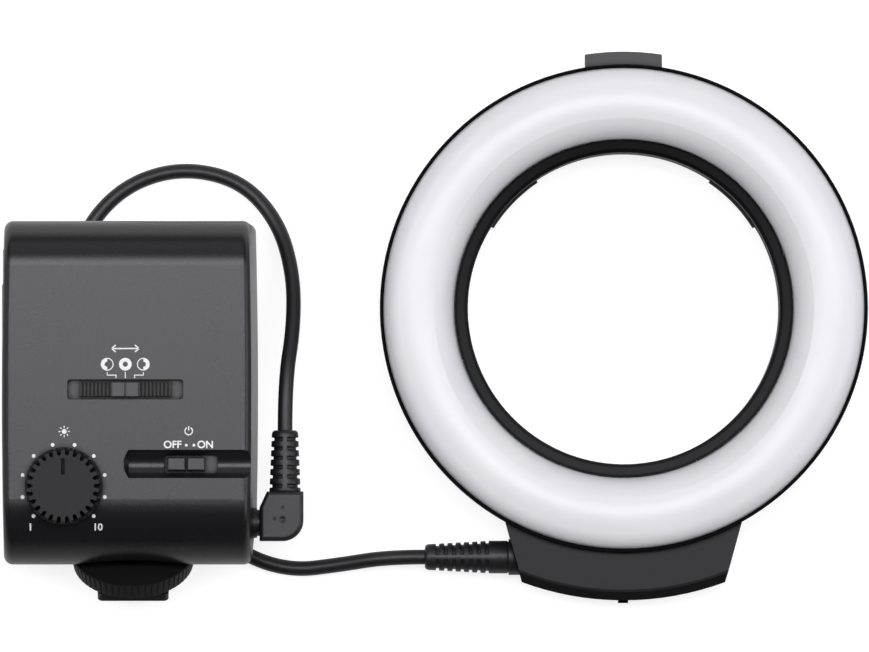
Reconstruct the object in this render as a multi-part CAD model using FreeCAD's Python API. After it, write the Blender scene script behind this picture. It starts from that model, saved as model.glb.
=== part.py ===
import FreeCAD, Part
import math
import os

# A macro ring light, lying on a table and seen from above.
# The ring has its lens bore on the Z axis and its back on the table, at Z = 0.
# The battery and control box lies to its left, leaning on the rim of its lock wheel, with the
# cord running under it. +X is to the right, +Y away from the foot and +Z up. Millimetres.
#
# Ring
ring_radius = 64.0
ring_wall = 1.6
ring_split_height = 8.0
ring_front_height = 18.6
cover_thickness = 2.0
cover_edge_round = 2.5
lens_bore_radius = 40.9
lens_seat_ledge = 2.1
lens_seat_depth = 5.0
bore_wall = 1.6
bore_foot_thickness = 1.2
bore_flange_width = 1.7
bore_lip_thickness = 1.8
bore_lip_stand = 0.4
bore_lip_slope_low = 0.8
bore_lip_slope_high = 0.6
bore_lip_edge = 0.5
bore_mouth_chamfer = 0.9
diffuser_edge_gap = 0.9
diffuser_bore_gap = 0.3
diffuser_thickness = 1.6
diffuser_crown_stand = 5.2
diffuser_seat_depth = 3.1
diffuser_edge_drop = 6.2
diffuser_edge_round = 4.6
diffuser_inner_drop = 6.6
diffuser_shoulder_drop = 0.8
diffuser_edge_middle_inset = 1.35
diffuser_edge_middle_drop = 2.75
diffuser_crown_share = 0.48
diffuser_brow_share = 0.72
diffuser_brow_drop = 0.9
diffuser_slope_bow_in = 0.45
diffuser_slope_bow_up = 0.55
shelf_width = 2.0
shelf_thickness = 2.0
board_thickness = 1.2
board_gap = 0.2
led_board_depth = 6.1
led_count = 24
led_size = 3.0
led_height = 0.9
# Base block under the ring, as seen in the photograph, with the driver board inside it
base_half_width = 28.8
base_side_lean = 15.4
base_reach = 12.6
base_face_reach = 9.9
base_face_drop = 2.6
base_chamfer_drop = 3.5
base_root = 6.0
nub_half_width = 1.3
nub_stand = 0.7
wire_window_half_width = 8.0
driver_board_half_length = 19.0
driver_board_width = 5.4
driver_board_edge_room = 5.0
driver_board_stand = 1.5
driver_post_radius = 1.5
driver_post_inset = 3.0
coil_length = 6.0
coil_height = 3.2
driver_chip_length = 5.0
driver_chip_height = 1.2
capacitor_radius = 1.6
capacitor_height = 3.0
capacitor_first_x = 7.0
capacitor_pitch = 5.0
coil_x = -14.0
driver_chip_x = -3.0
driver_part_low_gap = 0.3
driver_part_high_gap = 0.4
# Screws
screw_shank_radius = 0.95
screw_hole_radius = 1.25
screw_head_radius = 2.1
screw_head_low = 0.3
screw_head_high = 1.8
screw_slot_width = 0.6
screw_slot_depth = 0.6
screw_boss_radius = 2.6
screw_circle_inset = 5.4
screw_end_room = 1.0
screw_hole_end_room = 0.8
box_screw_reach = 6.5
board_screw_reach = 4.0
screw_hole_spare = 0.5
small_screw_radius = 0.8
small_screw_head_radius = 1.6
small_screw_head_height = 1.0
# Release button and latch claws
button_half_width = 10.1
button_stand = 3.5
button_flange_half_width = 12.4
button_flange_thickness = 1.6
button_travel = 1.2
button_leg_width = 2.4
button_leg_offset = 10.4
button_spring_radius = 1.7
button_spring_wire = 0.5
button_stud_length = 2.0
claw_start_angle = 11.0
claw_pivot_angle = 26.0
claw_nose_angle = 34.0
claw_end_angle = 58.0
claw_slot_start_angle = 32.4
claw_slot_end_angle = 59.4
claw_arm_end_angle = 36.0
claw_nose_start_angle = 32.0
claw_pivot_offset = 3.0
claw_hub_wall = 1.4
claw_arm_inset = 1.5
claw_lug_reach = 0.7
claw_height = 2.6
latch_pin_radius = 1.0
# Cells and their tray, which set the box's width and depth
cell_radius = 7.1
cell_length = 49.5
cell_nub_radius = 2.7
cell_nub_height = 1.0
cell_gap = 0.2
cell_floor_gap = 0.4
cell_head_room = 1.4
cell_edge_round = 0.6
cradle_wall = 1.0
cradle_gap = 0.3
cradle_rise = 5.0
cradle_mouth_inset = 2.0
contact_thickness = 0.4
contact_half_width = 5.0
contact_spring_length = 1.8
contact_spring_radius = 4.0
contact_pad_radius = 2.4
# Control box
box_centre_x = -129.8
box_centre_y = -22.3
box_back_height = 4.25
controls_length = 51.95
cell_end_room = 6.65
door_room = 3.2
cell_side_room = 10.1
box_side_draft = 1.4
box_side_bulge = 0.8
box_bulge_overreach = 5.0
box_low_round = 17.0
box_top_round = 12.0
box_back_round = 2.0
box_edge_round = 2.4
box_wall = 1.8
split_above_facet = 1.0
box_post_radius = 2.4
box_post_side_room = 4.9
box_post_low_y = 20.65
box_post_high_x = 22.0
foot_x = 1.1
foot_tilt = 38.0
# Controls on the panel, measured from the box's sides, its foot end and the cells' tray
knob_from_side = 17.55
knob_from_foot_end = 20.35
knob_radius = 10.1
knob_top_radius = 9.4
knob_height = 6.0
knob_skirt = 1.4
knob_edge_round = 0.5
knob_scallop_count = 26
knob_scallop_radius = 0.6
knob_scallop_inset = 0.75
knob_pointer_length = 4.2
knob_pointer_width = 0.9
knob_pointer_depth = 0.6
knob_pointer_inset = 3.1
knob_roof = 1.5
shaft_radius = 3.0
shaft_seat = 3.9
pot_size = 12.0
position_x = -0.3
position_from_cradle = 6.45
position_recess_length = 30.1
position_recess_width = 5.1
position_recess_depth = 2.0
position_recess_round = 0.8
position_bar_length = 23.8
position_bar_width = 3.6
position_grip_length = 6.8
position_grip_stand = 0.45
position_travel = 2.4
position_rib_pitch = 1.0
position_rib_count = 8
position_rib_start = 0.7
position_rib_width = 0.4
position_rib_depth = 0.3
position_bar_drop = 0.8
position_mark_width = 0.5
power_from_side = 23.1
power_from_foot_end = 26.1
power_button_length = 9.7
power_button_width = 3.4
power_button_gap = 0.5
power_button_round = 0.35
power_button_drop = 0.5
power_plate_thickness = 1.0
power_travel = 2.9
power_slot_length = 13.9
power_slot_width = 4.8
power_slot_depth = 0.9
power_slot_round = 0.7
power_slot_lead = 0.9
trough_lead = 11.35
trough_end_slope = 1.2
trough_end_depth = 0.3
trough_width = 7.3
trough_depth = 2.2
pad_thickness = 1.4
switch_width = 6.0
switch_length = 14.0
switch_well_depth = 2.0
stem_width = 1.6
stem_length = 3.0
board_side_room = 8.2
board_from_foot_end = 6.65
board_from_cradle = 2.8
board_screw_inset = 4.0
board_screw_side_inset = 3.5
board_low_screw_x = (-5.0, 14.0)
board_post_radius = 1.7
# Battery door
door_length = 29.0
door_low_gap = 0.8
door_hinge_drop = 5.0
door_thickness = 1.6
door_knuckle_radius = 1.3
door_leaf_drop = 2.0
door_web_half = 0.3
door_pin_radius = 0.6
door_bulge_share = 0.35
door_pin_reach = 1.6
door_contact_gap = 0.4
door_contact_inset = 3.5
door_contact_half_height = 4.0
door_pad_inset = 5.5
door_pad_half_height = 2.5
# Foot, clamp washer and lock wheel, measured out along the foot's axis
wheel_up_facet = 14.1
wheel_recess_depth = 0.8
wheel_recess_gap = 0.9
scallop_inset = 1.8
scallop_depth = 1.1
wheel_top = 0.3
wheel_radius = 16.5
wheel_taper = 0.7
wheel_thickness = 4.4
wheel_tooth_count = 60
wheel_tooth_depth = 0.45
wheel_tooth_offset = 0.25
stud_radius = 5.0
neck_step = 1.2
neck_seat = 0.4
washer_width = 2.4
washer_thickness = 1.0
washer_gap = 0.05
shoe_gap = 3.2
foot_plate_width = 18.6
foot_plate_length = 18.0
foot_plate_thickness = 2.0
foot_plate_round = 1.3
clamp_travel = 1.5
foot_flange_thickness = 1.6
bracket_half_length = 13.0
bracket_half_width = 5.5
bracket_thickness = 1.2
bracket_ear_half = 1.6
bracket_screw_offset = 11.4
bracket_screw_end = 0.8
# Jack, plug and cord
jack_from_foot_end = 10.9
jack_size = 9.0
jack_depth = 11.0
jack_wall_gap = 0.4
jack_bezel_stand = 0.1
jack_bezel_root = 0.5
plug_pin_radius = 1.9
plug_pin_length = 9.0
plug_collar_radius = 3.95
plug_collar_step = 0.5
plug_collar_length = 1.65
plug_width = 11.4
plug_length = 13.0
plug_thickness = 9.6
plug_above_pin = 8.2
plug_chamfer_width = 1.92
plug_chamfer_length = 4.16
plug_corner_round = 5.5
plug_edge_round = 1.2
boot_axis_offset = 6.6
boot_length = 16.0
boot_small_radius = 3.42
boot_large_radius = 4.1
boot_groove_count = 6
boot_groove_width = 0.75
boot_groove_depth = 1.1
boot_web_half = 0.8
boot_pad = 1.0
boot_nose_share = 0.86
boot_last_groove_share = 0.6
ring_boot_drop = 1.2
ring_boot_stand = 1.83
ring_boot_collar_length = 4.6
ring_boot_length = 17.3
ring_boot_small_radius = 3.35
ring_boot_large_radius = 4.3
ring_boot_neck_radius = 3.3
ring_boot_neck_length = 5.5
ring_boot_disc_radius = 4.0
ring_boot_disc_thickness = 1.6
ring_boot_groove_count = 7
cord_radius = 1.95
cord_floor = 2.05
# Clearances
fit = 0.3
running_fit = 0.06
pin_fit = 0.05
# Beyond every piece, for cuts that go right through
far = 200.0

# Sizes and places that follow from those above
lens_seat_radius = lens_bore_radius + lens_seat_ledge
bore_flange_radius = lens_bore_radius + bore_wall + bore_flange_width
bore_ring_height = ring_front_height + bore_lip_stand
diffuser_edge_radius = ring_radius - diffuser_edge_gap
diffuser_inner_radius = bore_flange_radius + diffuser_bore_gap
diffuser_crown_height = ring_front_height + diffuser_crown_stand
diffuser_seat_height = ring_front_height - diffuser_seat_depth
led_board_height = ring_front_height - led_board_depth
led_circle_radius = (diffuser_edge_radius + diffuser_inner_radius) / 2
ring_wall_inner = ring_radius - ring_wall
base_side_slope = math.tan(math.radians(base_side_lean))
base_radius = ring_radius + base_reach
base_face_radius = ring_radius + base_face_reach
base_face_height = ring_front_height - base_face_drop
base_chamfer_height = base_face_height - base_chamfer_drop
driver_board_low_y = -(base_radius - driver_board_edge_room)
driver_board_high_y = driver_board_low_y + driver_board_width
driver_board_middle_y = (driver_board_low_y + driver_board_high_y) / 2
driver_board_height = cover_thickness + driver_board_stand
screw_circle = ring_radius - screw_circle_inset
screw_head_room = screw_head_radius + 0.2
small_screw_hole_radius = small_screw_radius + 0.1
button_top_radius = ring_radius + button_stand
button_low = ring_split_height + fit
button_high = diffuser_seat_height - 0.2
button_flange_top = math.sqrt(ring_wall_inner ** 2 - button_flange_half_width ** 2) - fit
button_flange_low = button_flange_top - button_flange_thickness
button_spring_height = button_low + button_spring_radius + fit
claw_low = ring_split_height - 1.0 + fit
claw_high = claw_low + claw_height
claw_pivot_radius = lens_seat_radius + claw_pivot_offset
claw_outer_radius = claw_pivot_radius + claw_hub_wall
claw_arm_inner_radius = claw_pivot_radius - claw_arm_inset
claw_nose_inner_radius = lens_seat_radius + 0.4
claw_lug_radius = lens_bore_radius - claw_lug_reach
ring_boot_y = -(ring_radius + ring_boot_drop)
base_half_at_boot = base_half_width - ring_boot_drop * base_side_slope
ring_boot_flange_x = -(base_half_at_boot + ring_boot_stand)
ring_boot_rib_end_x = ring_boot_flange_x - ring_boot_collar_length
ring_boot_outer_end_x = ring_boot_rib_end_x - ring_boot_length
cell_pitch = 2 * cell_radius + cell_gap
cradle_length = 2 * (cell_radius + cradle_gap + cradle_wall) + cell_pitch
cell_row_length = cell_length + contact_spring_length + contact_thickness + cradle_wall
box_length = controls_length + cradle_length + cell_end_room
box_width = door_thickness + door_room + cell_row_length + cell_side_room
box_depth = 2 * box_wall + cell_floor_gap + 2 * cell_radius + cell_pitch + cell_head_room
half_length = box_length / 2
half_width = box_width / 2
front_half_width = half_width - box_side_draft
facet_height = box_depth - box_low_round
facet_low_y = -half_length + facet_height * math.tan(math.radians(foot_tilt))
box_split_height = facet_height + split_above_facet
cradle_low_y = -half_length + controls_length
cradle_high_y = cradle_low_y + cradle_length
cell_low_y = cradle_low_y + cradle_wall + cradle_gap + cell_radius
cell_low_height = box_wall + cell_floor_gap + cell_radius
cell_left_x = -half_width + door_thickness + door_room
cradle_right_x = cell_left_x + cell_length + contact_spring_length
cell_middle_y = cell_low_y + cell_pitch / 2
knob_x = -half_width + knob_from_side
knob_y = -half_length + knob_from_foot_end
position_y = cradle_low_y - position_from_cradle
power_x = half_width - power_from_side
power_y = -half_length + power_from_foot_end
power_stem_x = power_x + power_button_length / 2
trough_left = power_x - trough_lead
jack_y = -half_length + jack_from_foot_end
jack_height = box_split_height
main_board_height = jack_height + jack_size / 2 - 0.1
main_board_top = main_board_height + board_thickness
main_board_half_width = half_width - board_side_room
main_board_low_y = -half_length + board_from_foot_end
main_board_high_y = cradle_low_y - board_from_cradle
pot_top = box_depth - box_wall - 0.5
position_switch_top = box_depth - position_recess_depth - pad_thickness - 0.1
power_switch_top = box_depth - trough_depth - power_slot_depth - pad_thickness - 0.1
box_screw_places = [
    (box_post_side_room - half_width, box_post_low_y - half_length),
    (half_width - box_post_side_room, box_post_low_y - half_length),
    (-box_post_high_x, cradle_high_y + box_post_radius + 0.2),
    (box_post_high_x, cradle_high_y + box_post_radius + 0.2),
]
board_screw_places = [
    (board_screw_side_inset - main_board_half_width, main_board_high_y - board_screw_inset),
    (main_board_half_width - board_screw_side_inset, main_board_high_y - board_screw_inset),
    (board_low_screw_x[0], main_board_low_y + board_screw_inset),
    (board_low_screw_x[1], main_board_low_y + board_screw_inset),
]
door_low_height = box_wall + door_low_gap
door_hinge_height = box_depth - door_hinge_drop
door_hinge_x = (-half_width + box_side_draft * door_hinge_height / box_depth
                + box_side_bulge * door_bulge_share + door_knuckle_radius)
door_contact_x = cell_left_x - door_contact_gap - contact_thickness
wheel_low_radius = wheel_radius - wheel_taper
scallop_half_width = wheel_radius - scallop_inset
neck_radius = stud_radius + neck_step
washer_radius = neck_radius + washer_width
wheel_high = wheel_top + wheel_thickness

os.makedirs("parts", exist_ok=True)
V = FreeCAD.Vector
X_AXIS = V(1, 0, 0)
Y_AXIS = V(0, 1, 0)
Z_AXIS = V(0, 0, 1)


def save(name, shape):
    """Write one sub-part, and say how many solids it has and their volume."""
    shape.exportStep("parts/" + name + ".step")
    print(name, len(shape.Solids), round(shape.Volume, 2), shape.isValid())


def block(x0, x1, y0, y1, z0, z1):
    return Part.makeBox(x1 - x0, y1 - y0, z1 - z0, V(x0, y0, z0))


def below(height):
    return block(-far, far, -far, far, -far, height)


def above(height):
    return block(-far, far, -far, far, height, far)


def disc(radius, z0, z1, x=0.0, y=0.0):
    return Part.makeCylinder(radius, z1 - z0, V(x, y, z0), Z_AXIS)


def bore(radius, x=0.0, y=0.0):
    """A round cut that goes right through."""
    return disc(radius, -far, far, x, y)


def tube(outer, inner, z0, z1, x=0.0, y=0.0):
    return disc(outer, z0, z1, x, y).cut(bore(inner, x, y))


def turned(points):
    """Turn a closed outline of (radius, height) points round the Z axis."""
    outline = Part.makePolygon([V(r, 0, z) for r, z in points + points[:1]])
    return Part.Face(outline).revolve(V(0, 0, 0), Z_AXIS, 360)


def fused(shapes):
    first = shapes[0]
    if len(shapes) == 1:
        return first
    return first.fuse(shapes[1:]).removeSplitter()


def upright_edges(shape):
    return [edge for edge in shape.Edges if abs(edge.tangentAt(edge.FirstParameter).z) > 0.9]


def on_ring(radius, angle_from_top):
    """A point of the ring, by its angle clockwise from the top."""
    angle = math.radians(angle_from_top)
    return V(radius * math.sin(angle), radius * math.cos(angle), 0)


def sector(inner, outer, start, end, z0, z1):
    """A piece of a ring between two angles clockwise from the top."""
    middle = (start + end) / 2
    edges = [
        Part.Arc(on_ring(outer, start), on_ring(outer, middle), on_ring(outer, end)).toShape(),
        Part.makeLine(on_ring(outer, end), on_ring(inner, end)),
        Part.Arc(on_ring(inner, end), on_ring(inner, middle), on_ring(inner, start)).toShape(),
        Part.makeLine(on_ring(inner, start), on_ring(outer, start)),
    ]
    face = Part.Face(Part.Wire(edges))
    solid = face.extrude(V(0, 0, z1 - z0))
    solid.translate(V(0, 0, z0))
    return solid


def mirrored(shape):
    return shape.mirror(V(0, 0, 0), X_AXIS)


def cover_screw(x, y, top):
    """A slotted screw whose head lies in the back, with its shank up to the given height."""
    half = screw_slot_width / 2
    slot = block(x - screw_head_room, x + screw_head_room, y - half, y + half,
                 0, screw_head_low + screw_slot_depth)
    head = disc(screw_head_radius, screw_head_low, screw_head_high, x, y).cut(slot)
    return fused([head, disc(screw_shank_radius, screw_head_high, top, x, y)])


def cover_screw_holes(x, y):
    return [bore(screw_hole_radius, x, y), disc(screw_head_room, -far, screw_head_high, x, y)]


# Ring


def base_form(inset, top):
    """The block under the ring, drawn in by inset, up to the given height."""
    face_radius = base_face_radius - inset
    edge_radius = base_radius - inset
    root = ring_radius - base_root
    wedge = turned([
        (root, 0),
        (edge_radius, 0),
        (edge_radius, base_chamfer_height - inset),
        (face_radius, base_face_height - inset),
        (root, base_face_height - inset),
    ])
    half = base_half_width - inset
    top_half = half + ring_radius * base_side_slope
    low_half = half - ring_radius * base_side_slope
    outline = Part.makePolygon([
        V(-top_half, 0, 0),
        V(top_half, 0, 0),
        V(low_half, -2 * ring_radius, 0),
        V(-low_half, -2 * ring_radius, 0),
        V(-top_half, 0, 0),
    ])
    prism = Part.Face(outline).extrude(V(0, 0, top))
    return wedge.common(prism)


def boot_hole():
    """The round hole in the base's left side that holds the boot's neck."""
    start = V(ring_boot_flange_x - ring_boot_neck_length, ring_boot_y, ring_split_height)
    return Part.makeCylinder(ring_boot_neck_radius + fit, 3 * ring_boot_neck_length, start, X_AXIS)


def wire_window(low, high):
    """The way for the wires from the base into the ring."""
    half = wire_window_half_width
    return block(-half, half, -ring_radius - base_root, -ring_radius + base_root, low, high)


def ring_screw_places():
    for index in range(6):
        yield on_ring(screw_circle, 30 + 60 * index)


def claw_pivot_places():
    place = on_ring(claw_pivot_radius, claw_pivot_angle)
    return [(-place.x, place.y), (place.x, place.y)]


def ring_front_shell():
    shell = tube(ring_radius, ring_wall_inner, ring_split_height, ring_front_height)
    shelf = tube(ring_wall_inner + ring_wall / 2, ring_wall_inner - shelf_width,
                 led_board_height - shelf_thickness, led_board_height)
    base = base_form(0.0, base_face_height).cut(bore(ring_wall_inner + ring_wall / 2))
    base = base.cut(below(ring_split_height))
    bosses = [disc(screw_boss_radius, ring_split_height, led_board_height, p.x, p.y)
              for p in ring_screw_places()]
    shell = fused([shell, shelf, base] + bosses)
    cavity = base_form(ring_wall, base_face_height).cut(bore(ring_radius))
    shell = shell.cut(cavity)
    shell = shell.cut(disc(diffuser_edge_radius + 0.1, diffuser_seat_height, far))
    window = wire_window(0, led_board_height - shelf_thickness - 0.5)
    slot_half = button_half_width + fit
    button_slot = block(-slot_half, slot_half, ring_radius - base_root, button_top_radius,
                        0, button_high + fit)
    room_half = button_flange_half_width + fit
    flange_room = block(-room_half, room_half, button_flange_low - button_travel - fit,
                        ring_radius, 0, led_board_height + 0.1)
    flange_room = flange_room.common(bore(ring_wall_inner))
    screw_holes = [disc(screw_shank_radius, 0, led_board_height - screw_hole_end_room, p.x, p.y)
                   for p in ring_screw_places()]
    return shell.cut([window, button_slot, flange_room, boot_hole()] + screw_holes)


def ring_rear_cover():
    inner = lens_seat_radius
    outer = ring_radius
    edge = cover_edge_round
    plate = turned([
        (inner, 0),
        (outer - edge, 0),
        (outer - edge * 0.3, edge * 0.3),
        (outer, edge),
        (outer, ring_split_height),
        (ring_wall_inner, ring_split_height),
        (ring_wall_inner, cover_thickness),
        (inner + bore_wall, cover_thickness),
        (inner + bore_wall, lens_seat_depth),
        (inner, lens_seat_depth),
    ])
    base = base_form(0.0, base_face_height).cut(bore(outer - ring_wall / 2))
    base = base.cut(above(ring_split_height))
    cavity = base_form(ring_wall, base_face_height).cut(bore(outer))
    cavity = cavity.cut(below(cover_thickness))
    nub = block(-nub_half_width, nub_half_width, -base_radius - nub_stand, -base_radius + cover_thickness,
                cover_thickness, ring_split_height)
    bosses = [disc(screw_boss_radius, cover_thickness / 2, ring_split_height, p.x, p.y)
              for p in ring_screw_places()]
    hub = latch_pin_radius + claw_hub_wall
    pivots = [disc(hub, cover_thickness / 2, claw_low - fit, x, y) for x, y in claw_pivot_places()]
    cover = fused([plate, base, nub] + bosses).cut(cavity)
    seat_room = disc(lens_seat_radius + bore_wall + fit, lens_seat_depth, far)
    cover = fused([cover] + [pivot.cut(seat_room) for pivot in pivots])
    window = wire_window(2 * cover_thickness, far).cut(bore(ring_wall_inner - 1.0))
    cuts = [window, boot_hole()]
    for p in ring_screw_places():
        cuts += cover_screw_holes(p.x, p.y)
    cuts += [disc(latch_pin_radius, screw_head_high, far, x, y) for x, y in claw_pivot_places()]
    return cover.cut(cuts)


def lens_bore_ring():
    inner = lens_bore_radius
    wall = inner + bore_wall
    foot = lens_seat_radius + bore_wall
    lip = bore_ring_height - bore_lip_thickness
    body = turned([
        (inner, lens_seat_depth),
        (foot, lens_seat_depth),
        (foot, lens_seat_depth + bore_foot_thickness),
        (wall, lens_seat_depth + bore_foot_thickness),
        (wall, lip - bore_lip_slope_low),
        (bore_flange_radius, lip + bore_lip_slope_high),
        (bore_flange_radius, bore_ring_height - bore_lip_edge),
        (bore_flange_radius - bore_lip_edge, bore_ring_height),
        (inner + bore_mouth_chamfer, bore_ring_height),
        (inner, bore_ring_height - bore_mouth_chamfer),
    ])
    slot = sector(inner - 2, wall + 0.5, claw_slot_start_angle, claw_slot_end_angle,
                  claw_low - fit, claw_high + fit)
    return body.cut([slot, mirrored(slot)])


def diffuser_outline(inset):
    """The diffuser's section, from its outer skirt over the crown to its inner skirt."""
    outer = diffuser_edge_radius - inset
    inner = diffuser_inner_radius + inset
    crown = diffuser_crown_height - inset
    width = diffuser_edge_radius - diffuser_inner_radius
    start = V(outer, 0, crown - diffuser_edge_drop)
    shoulder = V(outer - diffuser_edge_round + 0.6 * inset, 0, crown - diffuser_shoulder_drop)
    edge_middle = V(outer - diffuser_edge_middle_inset + 0.15 * inset, 0,
                    crown - diffuser_edge_middle_drop)
    top = V(outer - diffuser_crown_share * width, 0, crown)
    brow = V(outer - diffuser_brow_share * width + inset, 0, crown - diffuser_brow_drop)
    end = V(inner, 0, crown - diffuser_inner_drop)
    slope_middle = V((brow.x + end.x) / 2 - diffuser_slope_bow_in, 0,
                     (brow.z + end.z) / 2 + diffuser_slope_bow_up)
    edges = [
        Part.Arc(start, edge_middle, shoulder).toShape(),
        Part.Arc(shoulder, top, brow).toShape(),
        Part.Arc(brow, slope_middle, end).toShape(),
    ]
    return edges, start, end


def diffuser_body(inset, low):
    """The turned form of the diffuser, drawn in by inset, down to the given height."""
    edges, start, end = diffuser_outline(inset)
    outline = edges + [
        Part.makeLine(end, V(end.x, 0, low)),
        Part.makeLine(V(end.x, 0, low), V(start.x, 0, low)),
        Part.makeLine(V(start.x, 0, low), start),
    ]
    return Part.Face(Part.Wire(outline)).revolve(V(0, 0, 0), Z_AXIS, 360)


def diffuser():
    board_top = led_board_height + board_thickness
    solid = diffuser_body(0.0, board_top)
    hollow = diffuser_body(diffuser_thickness, board_top - 1)
    rim = tube(ring_radius, ring_wall_inner - diffuser_thickness, 0, diffuser_seat_height)
    return solid.cut([hollow, rim])


def led_board():
    return tube(ring_wall_inner - board_gap, lens_bore_radius + bore_wall + board_gap + 0.1,
                led_board_height, led_board_height + board_thickness)


def led_chips():
    chips = []
    low = led_board_height + board_thickness
    half = led_size / 2
    for index in range(led_count):
        chip = block(-half, half, led_circle_radius - half, led_circle_radius + half,
                     low, low + led_height)
        chip.rotate(V(0, 0, 0), Z_AXIS, 360 * (index + 0.5) / led_count)
        chips.append(chip)
    return Part.makeCompound(chips)


def driver_board():
    half = driver_board_half_length
    board = block(-half, half, driver_board_low_y, driver_board_high_y,
                  driver_board_height, driver_board_height + board_thickness)
    post_x = half - driver_post_inset
    posts = [disc(driver_post_radius, cover_thickness, driver_board_height, x, driver_board_middle_y)
             for x in (-post_x, post_x)]
    return fused([board] + posts)


def driver_parts():
    """The coil, the control chip and two capacitors, on the driver board."""
    low = driver_board_height + board_thickness
    low_y = driver_board_low_y + driver_part_low_gap
    high_y = driver_board_high_y - driver_part_high_gap
    coil = block(coil_x, coil_x + coil_length, low_y, high_y, low, low + coil_height)
    chip = block(driver_chip_x, driver_chip_x + driver_chip_length, low_y, high_y,
                 low, low + driver_chip_height)
    capacitors = [disc(capacitor_radius, low, low + capacitor_height, x, driver_board_middle_y)
                  for x in (capacitor_first_x, capacitor_first_x + capacitor_pitch)]
    return Part.makeCompound([coil, chip] + capacitors)


def ring_screws():
    top = led_board_height - screw_end_room
    return Part.makeCompound([cover_screw(p.x, p.y, top) for p in ring_screw_places()])


def latch_pins():
    return Part.makeCompound([disc(latch_pin_radius, screw_head_high, claw_high + 0.5, x, y)
                              for x, y in claw_pivot_places()])


def latch_claw():
    """The right-hand claw: a lever on a pin, with a lug that reaches into the lens bore."""
    arm = sector(claw_arm_inner_radius, claw_outer_radius, claw_start_angle, claw_arm_end_angle,
                 claw_low, claw_high)
    nose = sector(claw_nose_inner_radius, claw_outer_radius, claw_nose_start_angle, claw_end_angle,
                  claw_low, claw_high)
    lug = sector(claw_lug_radius, claw_nose_inner_radius + 0.5, claw_nose_angle, claw_end_angle,
                 claw_low, claw_high)
    x, y = claw_pivot_places()[1]
    hub = disc(latch_pin_radius + claw_hub_wall, claw_low, claw_high, x, y)
    return fused([arm, nose, lug, hub]).cut(bore(latch_pin_radius + pin_fit, x, y))


def release_button():
    """The button's cap, with a flange inside the wall, two legs on the claws and a spring stud."""
    half = button_half_width
    cap = disc(button_top_radius, button_low, button_high).common(
        block(-half, half, button_flange_low, button_top_radius, button_low, button_high))
    inner_top = led_board_height - fit
    cap = cap.cut(disc(ring_wall_inner + fit + button_travel, inner_top, far))
    flange = block(-button_flange_half_width, button_flange_half_width, button_flange_low,
                   button_flange_top, button_low, inner_top)
    button = fused([cap, flange])
    leg_half = button_leg_width / 2
    near = button_leg_offset - leg_half
    leg_low = math.sqrt(claw_outer_radius ** 2 - near ** 2) + fit
    legs = [block(centre - leg_half, centre + leg_half, leg_low, button_flange_low + 0.5,
                  button_low, claw_high)
            for centre in (-button_leg_offset, button_leg_offset)]
    stud_radius_inside = button_spring_radius - button_spring_wire - 0.5
    stud = Part.makeCylinder(stud_radius_inside, button_stud_length + 0.5,
                             V(0, button_flange_low - button_stud_length, button_spring_height), Y_AXIS)
    return fused([button, stud] + legs)


def button_spring():
    """The return spring behind the button, as a plain sleeve of its outer size."""
    low = lens_bore_radius + bore_wall + 0.05
    start = V(0, low, button_spring_height)
    sleeve = Part.makeCylinder(button_spring_radius, button_flange_low - low, start, Y_AXIS)
    hollow = Part.makeCylinder(button_spring_radius - button_spring_wire, far, V(0, 0, start.z), Y_AXIS)
    return sleeve.cut(hollow)


def boot_ribs(length, small, large, grooves):
    """A tapered strain relief along +Z from its thick end, with grooves on both sides of a web."""
    cone = Part.makeCone(large, small, length - boot_pad, V(0, 0, 0), Z_AXIS)
    nose = Part.makeCone(small, small * boot_nose_share, boot_pad, V(0, 0, length - boot_pad), Z_AXIS)
    body = fused([cone, nose])
    pitch = (length - 2 * boot_pad) / (grooves - 1 + boot_last_groove_share)
    web = block(-boot_web_half, boot_web_half, -far, far, -far, far)
    cuts = []
    for index in range(grooves):
        start = boot_pad + pitch * index
        core = large + (small - large) * start / length - boot_groove_depth
        cuts.append(tube(large + 1, core, start, start + boot_groove_width).cut(web))
    return body.cut(cuts)


def ring_boot():
    """The cord's strain relief at the ring, with the neck and disc that the base holds."""
    ribs = boot_ribs(ring_boot_length, ring_boot_small_radius, ring_boot_large_radius,
                     ring_boot_groove_count)
    ribs.rotate(V(0, 0, 0), Y_AXIS, -90)
    ribs.rotate(V(0, 0, 0), X_AXIS, 90)
    start = V(ring_boot_rib_end_x, ring_boot_y, ring_split_height)
    ribs.translate(start)
    collar = Part.makeCylinder(ring_boot_large_radius, ring_boot_collar_length, start, X_AXIS)
    neck_start = V(ring_boot_flange_x, ring_boot_y, ring_split_height)
    neck = Part.makeCylinder(ring_boot_neck_radius, ring_boot_neck_length, neck_start, X_AXIS)
    disc_start = neck_start + V(ring_boot_neck_length - 0.5, 0, 0)
    inner_disc = Part.makeCylinder(ring_boot_disc_radius, ring_boot_disc_thickness, disc_start, X_AXIS)
    return fused([ribs, collar, neck, inner_disc])


# Control box, built about the middle of its back and then put in its place


def place_box(shape):
    shape = shape.copy()
    shape.translate(V(box_centre_x, box_centre_y, box_back_height))
    return shape


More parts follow.
